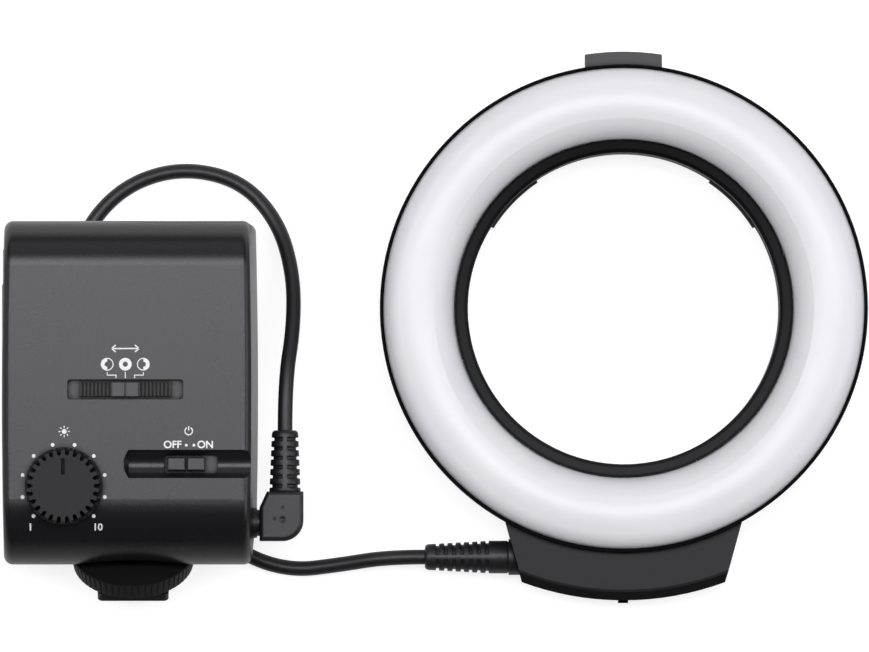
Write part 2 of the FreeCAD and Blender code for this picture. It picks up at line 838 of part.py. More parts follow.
def box_profile(inset):
    """The box seen from the side: slanted foot facet, round front, flat panel, round top."""
    ends = [
        V(0, facet_low_y, 0),
        V(0, -half_length, facet_height),
        V(0, -half_length + box_low_round, box_depth),
        V(0, half_length - box_top_round, box_depth),
        V(0, half_length, box_depth - box_top_round),
        V(0, half_length, box_back_round),
        V(0, half_length - box_back_round, 0),
    ]
    turn = math.sqrt(0.5)
    low_middle = V(0, ends[2].y - box_low_round * turn, ends[1].z + box_low_round * turn)
    top_middle = V(0, ends[3].y + box_top_round * turn, ends[4].z + box_top_round * turn)
    back_middle = V(0, ends[6].y + box_back_round * turn, box_back_round * (1 - turn))
    wire = Part.Wire([
        Part.makeLine(ends[0], ends[1]),
        Part.Arc(ends[1], low_middle, ends[2]).toShape(),
        Part.makeLine(ends[2], ends[3]),
        Part.Arc(ends[3], top_middle, ends[4]).toShape(),
        Part.makeLine(ends[4], ends[5]),
        Part.Arc(ends[5], back_middle, ends[6]).toShape(),
        Part.makeLine(ends[6], ends[0]),
    ])
    if inset > 0:
        wire = wire.makeOffset2D(-inset)
    return Part.Face(wire)


def side_outline(half, height):
    """The box seen from the front at one height, with slightly bulging sides."""
    reach = half_length + box_bulge_overreach
    narrow = half - box_side_bulge
    right = Part.Arc(V(narrow, -reach, height), V(half, 0, height), V(narrow, reach, height))
    left = Part.Arc(V(-narrow, reach, height), V(-half, 0, height), V(-narrow, -reach, height))
    return Part.Wire([
        right.toShape(),
        Part.makeLine(V(narrow, reach, height), V(-narrow, reach, height)),
        left.toShape(),
        Part.makeLine(V(-narrow, -reach, height), V(narrow, -reach, height)),
    ])


def box_form(inset):
    """The whole closed form of the box, drawn in by inset on every side."""
    slab = box_profile(inset).extrude(V(2 * box_width, 0, 0))
    slab.translate(V(-box_width, 0, 0))
    sides = Part.makeLoft([
        side_outline(half_width - inset, 0),
        side_outline(front_half_width - inset, box_depth),
    ], True, True)
    form = slab.common(sides)
    if inset > 0:
        return form
    edges = [edge for edge in form.Edges if abs(edge.CenterOfMass.x) > half_width / 2]
    return form.makeFillet(box_edge_round, edges)


def box_side_x(y, z):
    """How far the right-hand wall stands from the middle of the box."""
    width = half_width - box_side_draft * z / box_depth
    return width - box_side_bulge * (y / (half_length + box_bulge_overreach)) ** 2


def along_foot(shape):
    """Turn a shape built along +Z so that it points out of the box along the foot's axis."""
    shape = shape.copy()
    tilt = math.radians(foot_tilt)
    y = facet_low_y - wheel_up_facet * math.sin(tilt)
    z = wheel_up_facet * math.cos(tilt)
    place = FreeCAD.Placement(V(foot_x, y, z), FreeCAD.Rotation(X_AXIS, 90 + foot_tilt))
    shape.Placement = place.multiply(shape.Placement)
    return shape


def door_region(gap, high):
    """The block of wall that the battery door fills up to the given height, grown by gap."""
    inner_wall = box_wall + box_side_bulge + 0.2 - front_half_width
    half = door_length / 2 + gap
    return block(-far, inner_wall, cell_middle_y - half, cell_middle_y + half,
                 door_low_height - gap, high)


def door_hinge_line(radius, gap):
    start = V(door_hinge_x, cell_middle_y - door_length / 2 - gap, door_hinge_height)
    return Part.makeCylinder(radius, door_length + 2 * gap, start, Y_AXIS)


def box_cuts():
    """Everything that opens the box's skin."""
    cuts = [door_region(fit, door_hinge_height), door_hinge_line(door_knuckle_radius + fit, fit)]
    cuts.append(door_hinge_line(door_pin_radius, door_pin_reach))
    jack_start = V(half_width / 2, jack_y, jack_height)
    cuts.append(Part.makeCylinder(plug_collar_radius + fit, half_width, jack_start, X_AXIS))
    scallop_radius = (scallop_half_width ** 2 + scallop_depth ** 2) / (2 * scallop_depth)
    scallop_y = -half_length + scallop_depth - scallop_radius
    cuts.append(disc(scallop_radius, -1, box_depth, foot_x, scallop_y))
    for x in (-bracket_screw_offset, bracket_screw_offset):
        cuts.append(along_foot(disc(small_screw_radius, -box_wall - 1, -0.6, x, 0)))
    recess = disc(wheel_radius + wheel_recess_gap, -wheel_recess_depth, wheel_radius)
    stud_hole = disc(stud_radius + running_fit, -wheel_radius, wheel_radius)
    cuts.append(along_foot(recess))
    cuts.append(along_foot(stud_hole))
    return cuts


def stem_room(x, y, before, after, low, high):
    """The room that a slider's stem runs in."""
    return block(x - stem_length / 2 - before - fit, x + stem_length / 2 + after + fit,
                 y - stem_width / 2 - fit, y + stem_width / 2 + fit, low, high)


def position_stem_room(low, high):
    return stem_room(position_x, position_y, position_travel, position_travel, low, high)


def power_stem_room(low, high):
    return stem_room(power_stem_x, power_y, 0.0, power_travel, low, high)


def trough():
    """The round-bottomed groove for the power switch, with a sloped end, open to the right side."""
    half = trough_width / 2
    radius = (half ** 2 + trough_depth ** 2) / (2 * trough_depth)
    small = radius - trough_depth + trough_end_depth
    height = box_depth - trough_depth + radius
    slope = Part.makeCone(small, radius, trough_end_slope, V(trough_left, power_y, height), X_AXIS)
    start = V(trough_left + trough_end_slope, power_y, height)
    return fused([slope, Part.makeCylinder(radius, box_width, start, X_AXIS)])


def panel_cuts():
    """The shaft's hole, the position switch's recess and the power switch's trough."""
    cuts = [disc(shaft_radius + fit, box_depth / 2, far, knob_x, knob_y)]
    half = position_recess_length / 2
    wide = position_recess_width / 2
    recess = block(position_x - half, position_x + half, position_y - wide, position_y + wide,
                   box_depth - position_recess_depth, far)
    cuts.append(recess.makeFillet(position_recess_round, upright_edges(recess)))
    cuts.append(position_stem_room(box_depth / 2, far))
    cuts.append(trough())
    floor = box_depth - trough_depth
    left = power_x - power_slot_lead
    wide = power_slot_width / 2
    slot = block(left, left + power_slot_length, power_y - wide, power_y + wide,
                 floor - power_slot_depth, far)
    cuts.append(slot.makeFillet(power_slot_round, upright_edges(slot)))
    cuts.append(power_stem_room(box_depth / 2, far))
    return cuts


def box_front_shell():
    outer = box_form(0.0)
    inner = box_form(box_wall)
    half = position_recess_length / 2 + pad_thickness
    wide = position_recess_width / 2 + pad_thickness
    position_pad = block(position_x - half, position_x + half, position_y - wide, position_y + wide,
                         box_depth - position_recess_depth - pad_thickness, box_depth)
    wide = trough_width / 2 + pad_thickness
    power_pad = block(trough_left - pad_thickness, far, power_y - wide, power_y + wide,
                      box_depth - trough_depth - power_slot_depth - pad_thickness, box_depth)
    solid = outer.cut(inner.cut(fused([position_pad, power_pad])))
    roof = box_depth - box_wall
    posts = [disc(box_post_radius, box_split_height, roof, x, y) for x, y in box_screw_places]
    posts += [disc(board_post_radius, main_board_top, roof, x, y) for x, y in board_screw_places]
    solid = fused([solid] + [post.common(outer) for post in posts])
    solid = solid.cut(below(box_split_height))
    post_hole_end = box_split_height + box_screw_reach + screw_hole_spare
    board_hole_end = main_board_top + board_screw_reach + screw_hole_spare
    holes = [disc(screw_shank_radius, 0, post_hole_end, x, y) for x, y in box_screw_places]
    holes += [disc(small_screw_radius, 0, board_hole_end, x, y) for x, y in board_screw_places]
    return solid.cut(box_cuts() + panel_cuts() + holes)


def box_rear_shell():
    outer = box_form(0.0)
    solid = outer.cut(box_form(box_wall))
    posts = [disc(box_post_radius, box_wall / 2, box_split_height, x, y).common(outer)
             for x, y in box_screw_places]
    solid = fused([solid] + posts).cut(above(box_split_height))
    cuts = box_cuts()
    for x, y in box_screw_places:
        cuts += cover_screw_holes(x, y)
    return solid.cut(cuts)


def box_screws():
    top = box_split_height + box_screw_reach
    return Part.makeCompound([cover_screw(x, y, top) for x, y in box_screw_places])


def main_board():
    board = block(-main_board_half_width, main_board_half_width, main_board_low_y, main_board_high_y,
                  main_board_height, main_board_top)
    return board.cut([bore(small_screw_hole_radius, x, y) for x, y in board_screw_places])


def board_screws():
    screws = []
    for x, y in board_screw_places:
        head = disc(small_screw_head_radius, main_board_height - small_screw_head_height,
                    main_board_height, x, y)
        shank = disc(small_screw_radius, main_board_height, main_board_top + board_screw_reach, x, y)
        screws.append(fused([head, shank]))
    return Part.makeCompound(screws)


def potentiometer():
    half = pot_size / 2
    body = block(knob_x - half, knob_x + half, knob_y - half, knob_y + half, main_board_top, pot_top)
    return body.cut(disc(shaft_radius + running_fit, pot_top - shaft_seat - 0.1, far, knob_x, knob_y))


def knob_shaft():
    top = box_depth + fit + knob_height - knob_roof - 0.1
    return disc(shaft_radius, pot_top - shaft_seat, top, knob_x, knob_y)


def brightness_knob():
    """The knob, fluted above its smooth skirt, with a groove that points at the dial."""
    low = box_depth + fit
    high = low + knob_height
    body = disc(knob_radius, low, low + knob_skirt, knob_x, knob_y)
    cone = Part.makeCone(knob_radius, knob_top_radius, knob_height - knob_skirt,
                         V(knob_x, knob_y, low + knob_skirt), Z_AXIS)
    knob = fused([body, cone])
    top_edges = [edge for edge in knob.Edges if abs(edge.CenterOfMass.z - high) < 0.01]
    knob = knob.makeFillet(knob_edge_round, top_edges)
    cuts = []
    for index in range(knob_scallop_count):
        angle = 2 * math.pi * index / knob_scallop_count
        x = knob_x + (knob_radius - knob_scallop_inset) * math.cos(angle)
        y = knob_y + (knob_radius - knob_scallop_inset) * math.sin(angle)
        cuts.append(disc(knob_scallop_radius, low + knob_skirt, far, x, y))
    cuts.append(disc(shaft_radius + running_fit, 0, high - knob_roof, knob_x, knob_y))
    half = knob_pointer_width / 2
    groove_end = knob_y + knob_radius - knob_pointer_inset
    cuts.append(block(knob_x - half, knob_x + half, groove_end - knob_pointer_length, groove_end,
                      high - knob_pointer_depth, far))
    return knob.cut(cuts)


def switch_body(x, y, top):
    half = switch_length / 2
    wide = switch_width / 2
    return block(x - half, x + half, y - wide, y + wide, main_board_top, top)


def position_switch():
    body = switch_body(position_x, position_y, position_switch_top)
    return body.cut(position_stem_room(position_switch_top - switch_well_depth, far))


def power_switch():
    body = switch_body(power_stem_x + power_travel / 2, power_y, power_switch_top)
    return body.cut(power_stem_room(power_switch_top - switch_well_depth, far))


def slider_stem(x, y, top, high):
    """The stem from a slider down into its switch, whose top is given."""
    half = stem_length / 2
    wide = stem_width / 2
    return block(x - half, x + half, y - wide, y + wide, top - switch_well_depth + fit, high)


def position_slider():
    """The ribbed bar with a raised middle that picks the lit side of the ring."""
    low = box_depth - position_recess_depth + fit
    high = box_depth - position_bar_drop
    half = position_bar_length / 2
    wide = position_bar_width / 2
    grip_half = position_grip_length / 2
    grip_high = box_depth + position_grip_stand
    bar = block(position_x - half, position_x + half, position_y - wide, position_y + wide, low, high)
    grip = block(position_x - grip_half, position_x + grip_half, position_y - wide, position_y + wide,
                 low, grip_high)
    slider = fused([bar, grip, slider_stem(position_x, position_y, position_switch_top, low + 0.2)])
    mark_half = position_mark_width / 2
    rib_half = position_rib_width / 2
    grooves = [block(position_x - mark_half, position_x + mark_half, -far, far,
                     grip_high - position_rib_depth, far)]
    for side in (-1, 1):
        for index in range(position_rib_count):
            x = position_x + side * (grip_half + position_rib_start + position_rib_pitch * index)
            grooves.append(block(x - rib_half, x + rib_half, -far, far,
                                 high - position_rib_depth, grip_high + 1))
    return slider.cut(grooves)


def power_slider():
    """The two-block button that switches the light on when it is pushed to the right."""
    low = box_depth - trough_depth - power_slot_depth + fit
    high = box_depth - power_button_drop
    wide = power_button_width / 2
    right = power_x + power_button_length
    plate = block(power_x, right, power_y - wide, power_y + wide,
                  low, low + power_plate_thickness)
    length = (power_button_length - power_button_gap) / 2
    blocks = []
    for start in (power_x, right - length):
        piece = block(start, start + length, power_y - wide, power_y + wide, low, high)
        top = [edge for edge in piece.Edges if abs(edge.CenterOfMass.z - high) < 0.01]
        blocks.append(piece.makeFillet(power_button_round, top))
    stem = slider_stem(power_stem_x, power_y, power_switch_top, low + 0.2)
    return fused([plate, stem] + blocks)


def cell_places():
    for row in range(2):
        for column in range(2):
            yield cell_low_y + cell_pitch * column, cell_low_height + cell_pitch * row


def aa_cell(index):
    """One cell along X; neighbours point opposite ways."""
    y, z = list(cell_places())[index]
    start = cell_left_x + cell_nub_height
    length = cell_length - 2 * cell_nub_height
    body = Part.makeCylinder(cell_radius, length, V(start, y, z), X_AXIS)
    body = body.makeFillet(cell_edge_round, [edge for edge in body.Edges if len(edge.Vertexes) == 1])
    points_right = index in (0, 3)
    nub_x = start + length if points_right else cell_left_x
    nub = Part.makeCylinder(cell_nub_radius, cell_nub_height, V(nub_x, y, z), X_AXIS)
    return fused([body, nub])


def battery_cradle():
    """The tray round the cells: two side walls and the wall that carries the far contacts."""
    high = cell_low_height + cell_pitch + cradle_rise
    right = cradle_right_x + contact_thickness + cradle_wall
    outer = block(cell_left_x + cradle_mouth_inset, right, cradle_low_y, cradle_high_y, box_wall, high)
    inner = block(-far, right - cradle_wall, cradle_low_y + cradle_wall, cradle_high_y - cradle_wall,
                  0, far)
    return outer.cut(inner)


def cell_contact(y, z, spring):
    """A contact plate with a spring for the flat end of a cell, or a plain pad for its nub."""
    half = contact_half_width
    plate = block(cradle_right_x, cradle_right_x + contact_thickness,
                  y - half, y + half, z - half, z + half)
    start = V(cradle_right_x, y, z)
    towards_cell = V(-1, 0, 0)
    if spring:
        pad = Part.makeCone(contact_spring_radius, contact_pad_radius, contact_spring_length - 0.05,
                            start, towards_cell)
    else:
        pad = Part.makeCylinder(contact_pad_radius, contact_spring_length - cell_nub_height - 0.05,
                                start, towards_cell)
    return fused([plate, pad])


def battery_contacts():
    """The four contacts on the tray's far wall."""
    return Part.makeCompound([cell_contact(y, z, index in (1, 2))
                              for index, (y, z) in enumerate(cell_places())])


def battery_door():
    """The door in the left wall, cut from the box's own skin, with its hinge knuckle and pads."""
    skin = box_form(0.0).cut(box_form(door_thickness))
    leaf_high = door_hinge_height - door_leaf_drop
    leaf = skin.common(door_region(0.0, leaf_high))
    half = door_length / 2
    web = block(door_hinge_x - door_web_half, door_hinge_x + door_web_half,
                cell_middle_y - half, cell_middle_y + half, leaf_high - 0.5, door_hinge_height)
    inside = box_form(door_thickness - 0.5)
    half = door_length / 2 - door_pad_inset
    pads = []
    for row in range(2):
        z = cell_low_height + cell_pitch * row
        pads.append(block(-far, door_contact_x, cell_middle_y - half, cell_middle_y + half,
                          z - door_pad_half_height, z + door_pad_half_height).common(inside))
    door = fused([leaf, web, door_hinge_line(door_knuckle_radius, 0.0)] + pads)
    return door.cut(door_hinge_line(door_pin_radius + pin_fit, door_pin_reach))


def door_contacts():
    """The plates inside the door that join the cells in pairs."""
    half = door_length / 2 - door_contact_inset
    tall = door_contact_half_height
    plates = []
    for row in range(2):
        z = cell_low_height + cell_pitch * row
        plates.append(block(door_contact_x, door_contact_x + contact_thickness,
                            cell_middle_y - half, cell_middle_y + half, z - tall, z + tall))
    return Part.makeCompound(plates)


def door_pin():
    return door_hinge_line(door_pin_radius, door_pin_reach)


# Foot


def foot():
    """The shoe foot: plate, neck and stud in one, with the flange that the bracket holds inside."""
    neck_top = wheel_high - neck_seat
    plate_low = wheel_high + washer_thickness + shoe_gap
    half = foot_plate_width / 2
    long = foot_plate_length / 2
    plate = block(-half, half, -long, long, plate_low, plate_low + foot_plate_thickness)
    plate = plate.makeFillet(foot_plate_round, upright_edges(plate))
    neck = disc(neck_radius, neck_top, plate_low + 0.5)
    stud = disc(stud_radius, -box_wall - foot_flange_thickness, neck_top + 0.2)
    flange = disc(neck_radius, -box_wall - foot_flange_thickness, -box_wall)
    return along_foot(fused([plate, neck, stud, flange]))


def foot_bracket():
    """The plate inside the box that presses the foot's flange against the slanted wall."""
    low = -box_wall - foot_flange_thickness - bracket_thickness
    half = bracket_half_length
    wide = bracket_half_width
    plate = block(-half, half, -wide, wide, low, low + bracket_thickness)
    ears = [block(middle - bracket_ear_half, middle + bracket_ear_half, -wide, wide, low, -box_wall)
            for middle in (-bracket_screw_offset, bracket_screw_offset)]
    holes = [bore(small_screw_hole_radius, x) for x in (-bracket_screw_offset, bracket_screw_offset)]
    return along_foot(fused([plate] + ears).cut(holes))


def bracket_screws():
    low = -box_wall - foot_flange_thickness - bracket_thickness
    screws = []
    for x in (-bracket_screw_offset, bracket_screw_offset):
        head = disc(small_screw_head_radius, low - small_screw_head_height, low, x, 0)
        shank = disc(small_screw_radius, low, -bracket_screw_end, x, 0)
        screws.append(along_foot(fused([head, shank])))
    return Part.makeCompound(screws)


def lock_wheel():
    """The knurled wheel that runs down the stud and clamps the shoe."""
    cone = Part.makeCone(wheel_radius, wheel_low_radius, wheel_thickness, V(0, 0, wheel_top), Z_AXIS)
    cuts = [bore(stud_radius + running_fit)]
    cuts.append(disc(neck_radius + fit, wheel_high - neck_seat - clamp_travel - fit, far))
    for index in range(wheel_tooth_count):
        angle = 2 * math.pi * index / wheel_tooth_count
        low_radius = wheel_radius + wheel_tooth_offset
        high_radius = wheel_low_radius + wheel_tooth_offset
        start = V(low_radius * math.cos(angle), low_radius * math.sin(angle), wheel_top - 1)
        end = V(high_radius * math.cos(angle), high_radius * math.sin(angle), wheel_high + 1)
        cuts.append(Part.makeCylinder(wheel_tooth_depth, (end - start).Length, start, end - start))
    return along_foot(cone.cut(cuts))


def clamp_washer():
    low = wheel_high + washer_gap
    return along_foot(tube(washer_radius, neck_radius + running_fit, low, low + washer_thickness))


# Jack and plug


def jack():
    half = jack_size / 2
    wall = box_side_x(jack_y, jack_height) - box_wall
    body = block(wall - jack_depth, wall - jack_wall_gap, jack_y - half, jack_y + half,
                 jack_height - half, jack_height + half - 0.1)
    bezel = Part.makeCylinder(plug_collar_radius, box_wall + jack_bezel_root + jack_bezel_stand,
                              V(wall - jack_bezel_root, jack_y, jack_height), X_AXIS)
    hole = Part.makeCylinder(plug_pin_radius + running_fit, far,
                             V(wall - jack_depth + 1, jack_y, jack_height), X_AXIS)
    return fused([body, bezel]).cut(hole)


plug_start_x = box_side_x(jack_y, jack_height) + jack_bezel_stand
plug_left_x = plug_start_x + plug_collar_length
plug_high_y = jack_y + plug_above_pin
boot_axis_x = plug_left_x + boot_axis_offset


def plug_collar():
    half = plug_collar_length / 2
    wide = Part.makeCylinder(plug_collar_radius, half + 0.1, V(plug_start_x, jack_y, jack_height), X_AXIS)
    narrow = Part.makeCylinder(plug_collar_radius - plug_collar_step, half,
                               V(plug_start_x + half, jack_y, jack_height), X_AXIS)
    return fused([wide, narrow])


def plug_pin():
    start = V(plug_start_x - plug_pin_length, jack_y, jack_height)
    return Part.makeCylinder(plug_pin_radius, plug_pin_length, start, X_AXIS)


def plug_body():
    """The right-angle moulding, with its cut corner on the box side and a round outer corner."""
    right = plug_left_x + plug_width
    low = plug_high_y - plug_length
    half = plug_thickness / 2
    outline = [
        V(plug_left_x, low, 0),
        V(right, low, 0),
        V(right, plug_high_y, 0),
        V(plug_left_x + plug_chamfer_width, plug_high_y, 0),
        V(plug_left_x, plug_high_y - plug_chamfer_length, 0),
        V(plug_left_x, low, 0),
    ]
    body = Part.Face(Part.makePolygon(outline)).extrude(V(0, 0, plug_thickness))
    body.translate(V(0, 0, jack_height - half))
    outer = [edge for edge in body.Edges
             if abs(edge.CenterOfMass.x - right) < 0.01 and abs(edge.CenterOfMass.y - low) < 0.01]
    body = body.makeFillet(plug_corner_round, outer)
    rims = [edge for edge in body.Edges if abs(edge.CenterOfMass.z - jack_height) > half - 0.01]
    return body.makeFillet(plug_edge_round, rims)


def plug_boot():
    ribs = boot_ribs(boot_length, boot_small_radius, boot_large_radius, boot_groove_count)
    ribs.rotate(V(0, 0, 0), Z_AXIS, 90)
    ribs.rotate(V(0, 0, 0), X_AXIS, -90)
    ribs.translate(V(boot_axis_x, plug_high_y, jack_height))
    return ribs


# Cord, from the ring's boot under the box to the plug's boot, in the object's own frame.
# Its points were chosen by hand along the cord in the photograph.


def cord_points():
    plug_end = V(box_centre_x + boot_axis_x, box_centre_y + plug_high_y + boot_length,
                 box_back_height + jack_height)
    return [
        V(ring_boot_outer_end_x, ring_boot_y, ring_split_height),
        V(-62.0, ring_boot_y, ring_split_height),
        V(-74.5, -67.2, 4.0),
        V(-87.5, -68.8, cord_floor),
        V(-100.5, -64.5, cord_floor),
        V(-110.5, -54.5, cord_floor),
        V(-116.5, -41.0, cord_floor),
        V(-123.0, -28.0, cord_floor),
        V(-133.0, -17.0, cord_floor),
        V(-142.0, -5.0, cord_floor),
        V(-145.4, 9.0, cord_floor),
        V(-141.2, 22.5, cord_floor),
        V(-130.8, 33.2, cord_floor),
        V(-116.2, 37.6, cord_floor),
        V(-100.8, 34.2, cord_floor + 0.2),
        V(-91.0, 23.5, 4.0),
        V(-86.8, 9.5, 8.8),
        V(-86.6, -5.0, 16.2),
        V(plug_end.x, plug_end.y + 13.0, plug_end.z),
        plug_end,
    ]


def cord():
    """A tube of straight runs joined by arcs, each as large as its two runs allow."""
    points = cord_points()
    edges = []
    radii = []
    start = points[0]
    for index in range(1, len(points) - 1):
        before = points[index - 1] - points[index]
        after = points[index + 1] - points[index]
        turn = math.pi - before.getAngle(after)
        reach = 0.45 * min(before.Length, after.Length)
        radius = reach / math.tan(turn / 2)
        radii.append(radius)
        before.normalize()
        after.normalize()
        enter = points[index] + before * reach
        leave = points[index] + after * reach
        bisector = before + after
        bisector.normalize()
        middle = points[index] + bisector * (radius / math.cos(turn / 2) - radius)
        edges.append(Part.makeLine(start, enter))
        edges.append(Part.Arc(enter, middle, leave).toShape())
        start = leave
    edges.append(Part.makeLine(start, points[-1]))
    path = Part.Wire(edges)
    section = Part.Wire([Part.makeCircle(cord_radius, points[0], points[1] - points[0])])
    solid = path.makePipeShell([section], True, True)
    print("cord radii", [round(r, 1) for r in radii])
    print("cord length", round(path.Length, 1), "volume", round(solid.Volume, 1),
          "section times length", round(math.pi * cord_radius ** 2 * path.Length, 1))
    return solid


ring_parts = [
    ring_front_shell, ring_rear_cover, lens_bore_ring, diffuser, led_board, led_chips, driver_board,
    driver_parts, ring_screws, latch_pins, release_button, button_spring, ring_boot, cord,
]
box_parts = [
    box_front_shell, box_rear_shell, box_screws, main_board, board_screws, potentiometer, knob_shaft,
    brightness_knob, position_switch, position_slider, power_switch, power_slider, battery_cradle,
    battery_contacts, battery_door, door_contacts, door_pin, foot, foot_bracket, bracket_screws,
    lock_wheel, clamp_washer, jack, plug_collar, plug_pin, plug_body, plug_boot,
]
for make in ring_parts:
    save(make.__name__, make())
claw = latch_claw()
save("latch_claw_right", claw)
save("latch_claw_left", mirrored(claw))
for make in box_parts:
    save(make.__name__, place_box(make()))
for index in range(4):
    save("aa_cell_" + str(index + 1), place_box(aa_cell(index)))
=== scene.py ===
# %% [markdown]
# # A macro ring light, dressed in Blender
#
# The object is a round light that goes round a camera lens, and a battery box that feeds it
# through a short cord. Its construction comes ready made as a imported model, in metres, with the
# lens bore on the Z axis and the ring's back on the table at Z = 0. This lesson gives that model
# its looks: first the camera, the cord and the light, then the small parts that catch the eye,
# and last a finish for every surface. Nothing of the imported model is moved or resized.

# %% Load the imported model
import bmesh
import bpy
import math
from bmesh.types import BMEdge, BMFace, BMVert
from mathutils import Matrix, Vector


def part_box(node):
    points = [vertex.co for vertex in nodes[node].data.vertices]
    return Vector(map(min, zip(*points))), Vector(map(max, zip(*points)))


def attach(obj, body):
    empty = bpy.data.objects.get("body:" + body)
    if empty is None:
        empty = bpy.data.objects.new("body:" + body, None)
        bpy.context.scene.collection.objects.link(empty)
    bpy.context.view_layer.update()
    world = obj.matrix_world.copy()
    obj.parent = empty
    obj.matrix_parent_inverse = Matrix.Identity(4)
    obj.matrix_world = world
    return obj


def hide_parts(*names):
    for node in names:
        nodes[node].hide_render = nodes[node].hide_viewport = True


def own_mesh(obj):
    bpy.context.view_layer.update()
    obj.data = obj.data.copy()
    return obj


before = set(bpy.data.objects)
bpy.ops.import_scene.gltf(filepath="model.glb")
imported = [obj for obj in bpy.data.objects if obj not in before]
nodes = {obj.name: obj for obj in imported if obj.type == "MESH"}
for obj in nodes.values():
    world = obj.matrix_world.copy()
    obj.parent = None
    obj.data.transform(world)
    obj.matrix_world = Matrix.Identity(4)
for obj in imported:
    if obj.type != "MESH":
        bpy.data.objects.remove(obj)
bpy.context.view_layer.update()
MM = 0.001

# %% [markdown]
# ## The camera
#
# The picture was taken with a long lens from almost straight above, with the two units lying
# side by side. A long focal length from far away keeps the parallels parallel; moving the camera
# closer would show the box's walls leaning outwards. One pixel of the picture is 0.262 mm at the
# height of the ring's face, and the picture's size and the pixel of the ring's centre are known,
# so the camera's aim and field of view follow.

# %% Place the camera
PICTURE_WIDTH = 869
PICTURE_HEIGHT = 652
PIXEL = 0.262 * MM
RING_PIXEL = (624.0, 308.0)
AIM_HEIGHT = 20 * MM
CAMERA_DISTANCE = 2.6
CAMERA_LEAN = math.radians(1.5)
SENSOR_WIDTH = 36.0


def picture_point(across, down, height):
    """The place on the object that the picture shows at a pixel, at a known height."""
    return Vector(((across - RING_PIXEL[0]) * PIXEL, (RING_PIXEL[1] - down) * PIXEL, height))


scene = bpy.context.scene
aim = picture_point(PICTURE_WIDTH / 2, PICTURE_HEIGHT / 2, AIM_HEIGHT)
towards_camera = Vector((0, -math.sin(CAMERA_LEAN), math.cos(CAMERA_LEAN)))
camera_data = bpy.data.cameras.new("camera")
camera_data.sensor_width = SENSOR_WIDTH
camera_data.lens = SENSOR_WIDTH * CAMERA_DISTANCE / (PICTURE_WIDTH * PIXEL)
camera_data.clip_end = 60
camera = bpy.data.objects.new("camera", camera_data)
scene.collection.objects.link(camera)
camera.location = aim + towards_camera * CAMERA_DISTANCE
camera.rotation_mode = "QUATERNION"
camera.rotation_quaternion = (-towards_camera).to_track_quat("-Z", "Y")
scene.camera = camera
print("focal length in mm", round(camera_data.lens))


def through_pixel(across, down, height):
    """Where the camera's ray through a pixel meets the level plane at a height."""
    to_right = Vector((1, 0, 0))
    to_top = towards_camera.cross(to_right)
    seen = aim + (across - PICTURE_WIDTH / 2) * PIXEL * to_right
    seen += (PICTURE_HEIGHT / 2 - down) * PIXEL * to_top
    reach = (camera.location.z - height) / (camera.location.z - seen.z)
    return camera.location + (seen - camera.location) * reach

# %% [markdown]
# ## The cord's line
#
# The cord is a plain black lead of 3.9 mm. It leaves the ring's strain relief, dives under the
# battery box, comes out behind it and bends over into the plug's strain relief. A tube could be
# swept as a mesh, but a NURBS curve with a round bevel stays smooth at any size and can be
# measured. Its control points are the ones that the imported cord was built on, so it lies where
# that cord lies.

# %% Draw the cord
CORD_RADIUS = 1.95 * MM
CORD_FLOOR = 2.05
cord_route = [
    (-52.2, -65.2, 8.0), (-62.0, -65.2, 8.0), (-74.5, -67.2, 4.0), (-87.5, -68.8, CORD_FLOOR),
    (-100.5, -64.5, CORD_FLOOR), (-110.5, -54.5, CORD_FLOOR), (-116.5, -41.0, CORD_FLOOR),
    (-123.0, -28.0, CORD_FLOOR), (-133.0, -17.0, CORD_FLOOR), (-142.0, -5.0, CORD_FLOOR),
    (-145.4, 9.0, CORD_FLOOR), (-141.2, 22.5, CORD_FLOOR), (-130.8, 33.2, CORD_FLOOR),
    (-116.2, 37.6, CORD_FLOOR), (-100.8, 34.2, 2.25), (-91.0, 23.5, 4.0), (-86.8, 9.5, 8.8),
    (-86.6, -5.0, 16.2), (-88.76, -19.1, 22.25), (-88.76, -32.1, 22.25),
]


def smooth_curve(name, points, radius, sides):
    """A round rod along a NURBS spline through the space that its control points span.

    The radius is given at each point, and the bevel is one metre deep, which it then scales.
    """
    data = bpy.data.curves.new(name, "CURVE")
    data.dimensions = "3D"
    spline = data.splines.new("NURBS")
    spline.points.add(len(points) - 1)
    for point, place in zip(spline.points, points):
        point.co = (*[v * MM for v in place], 1)
        point.radius = radius
    spline.order_u = 3
    spline.use_endpoint_u = True
    spline.resolution_u = 10
    data.bevel_depth = 1.0
    data.bevel_resolution = sides
    data.use_fill_caps = True
    made = bpy.data.objects.new(name, data)
    scene.collection.objects.link(made)
    return made


cord = smooth_curve("lead", cord_route, CORD_RADIUS, 6)
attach(cord, "root")
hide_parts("cord")
print("cord points", len(cord_route))

# %% [markdown]
# ## The table and the light
#
# The picture has a pure white ground. Turning the lamps up until a pale floor burns out would
# burn out the diffuser as well, so the floor shines a little by itself, but only for the camera
# and for reflections. Under the object it still darkens, which keeps it standing on something.
# A low white wall far away closes the horizon in side views.

# %% Make the floor and the far wall
FLOOR_HALF = 9.0
WALL_HEIGHT = 1.2
FLOOR_DROP = 0.05 * MM


def new_object(name, bm):
    """Turn a bmesh into an object at the origin."""
    data = bpy.data.meshes.new(name)
    bm.to_mesh(data)
    bm.free()
    made = bpy.data.objects.new(name, data)
    scene.collection.objects.link(made)
    return made


def only(kind, items):
    """The elements of one kind among mixed geometry."""
    return [item for item in items if isinstance(item, kind)]


def move(bm, vec):
    bmesh.ops.translate(bm, verts=bm.verts, vec=vec)


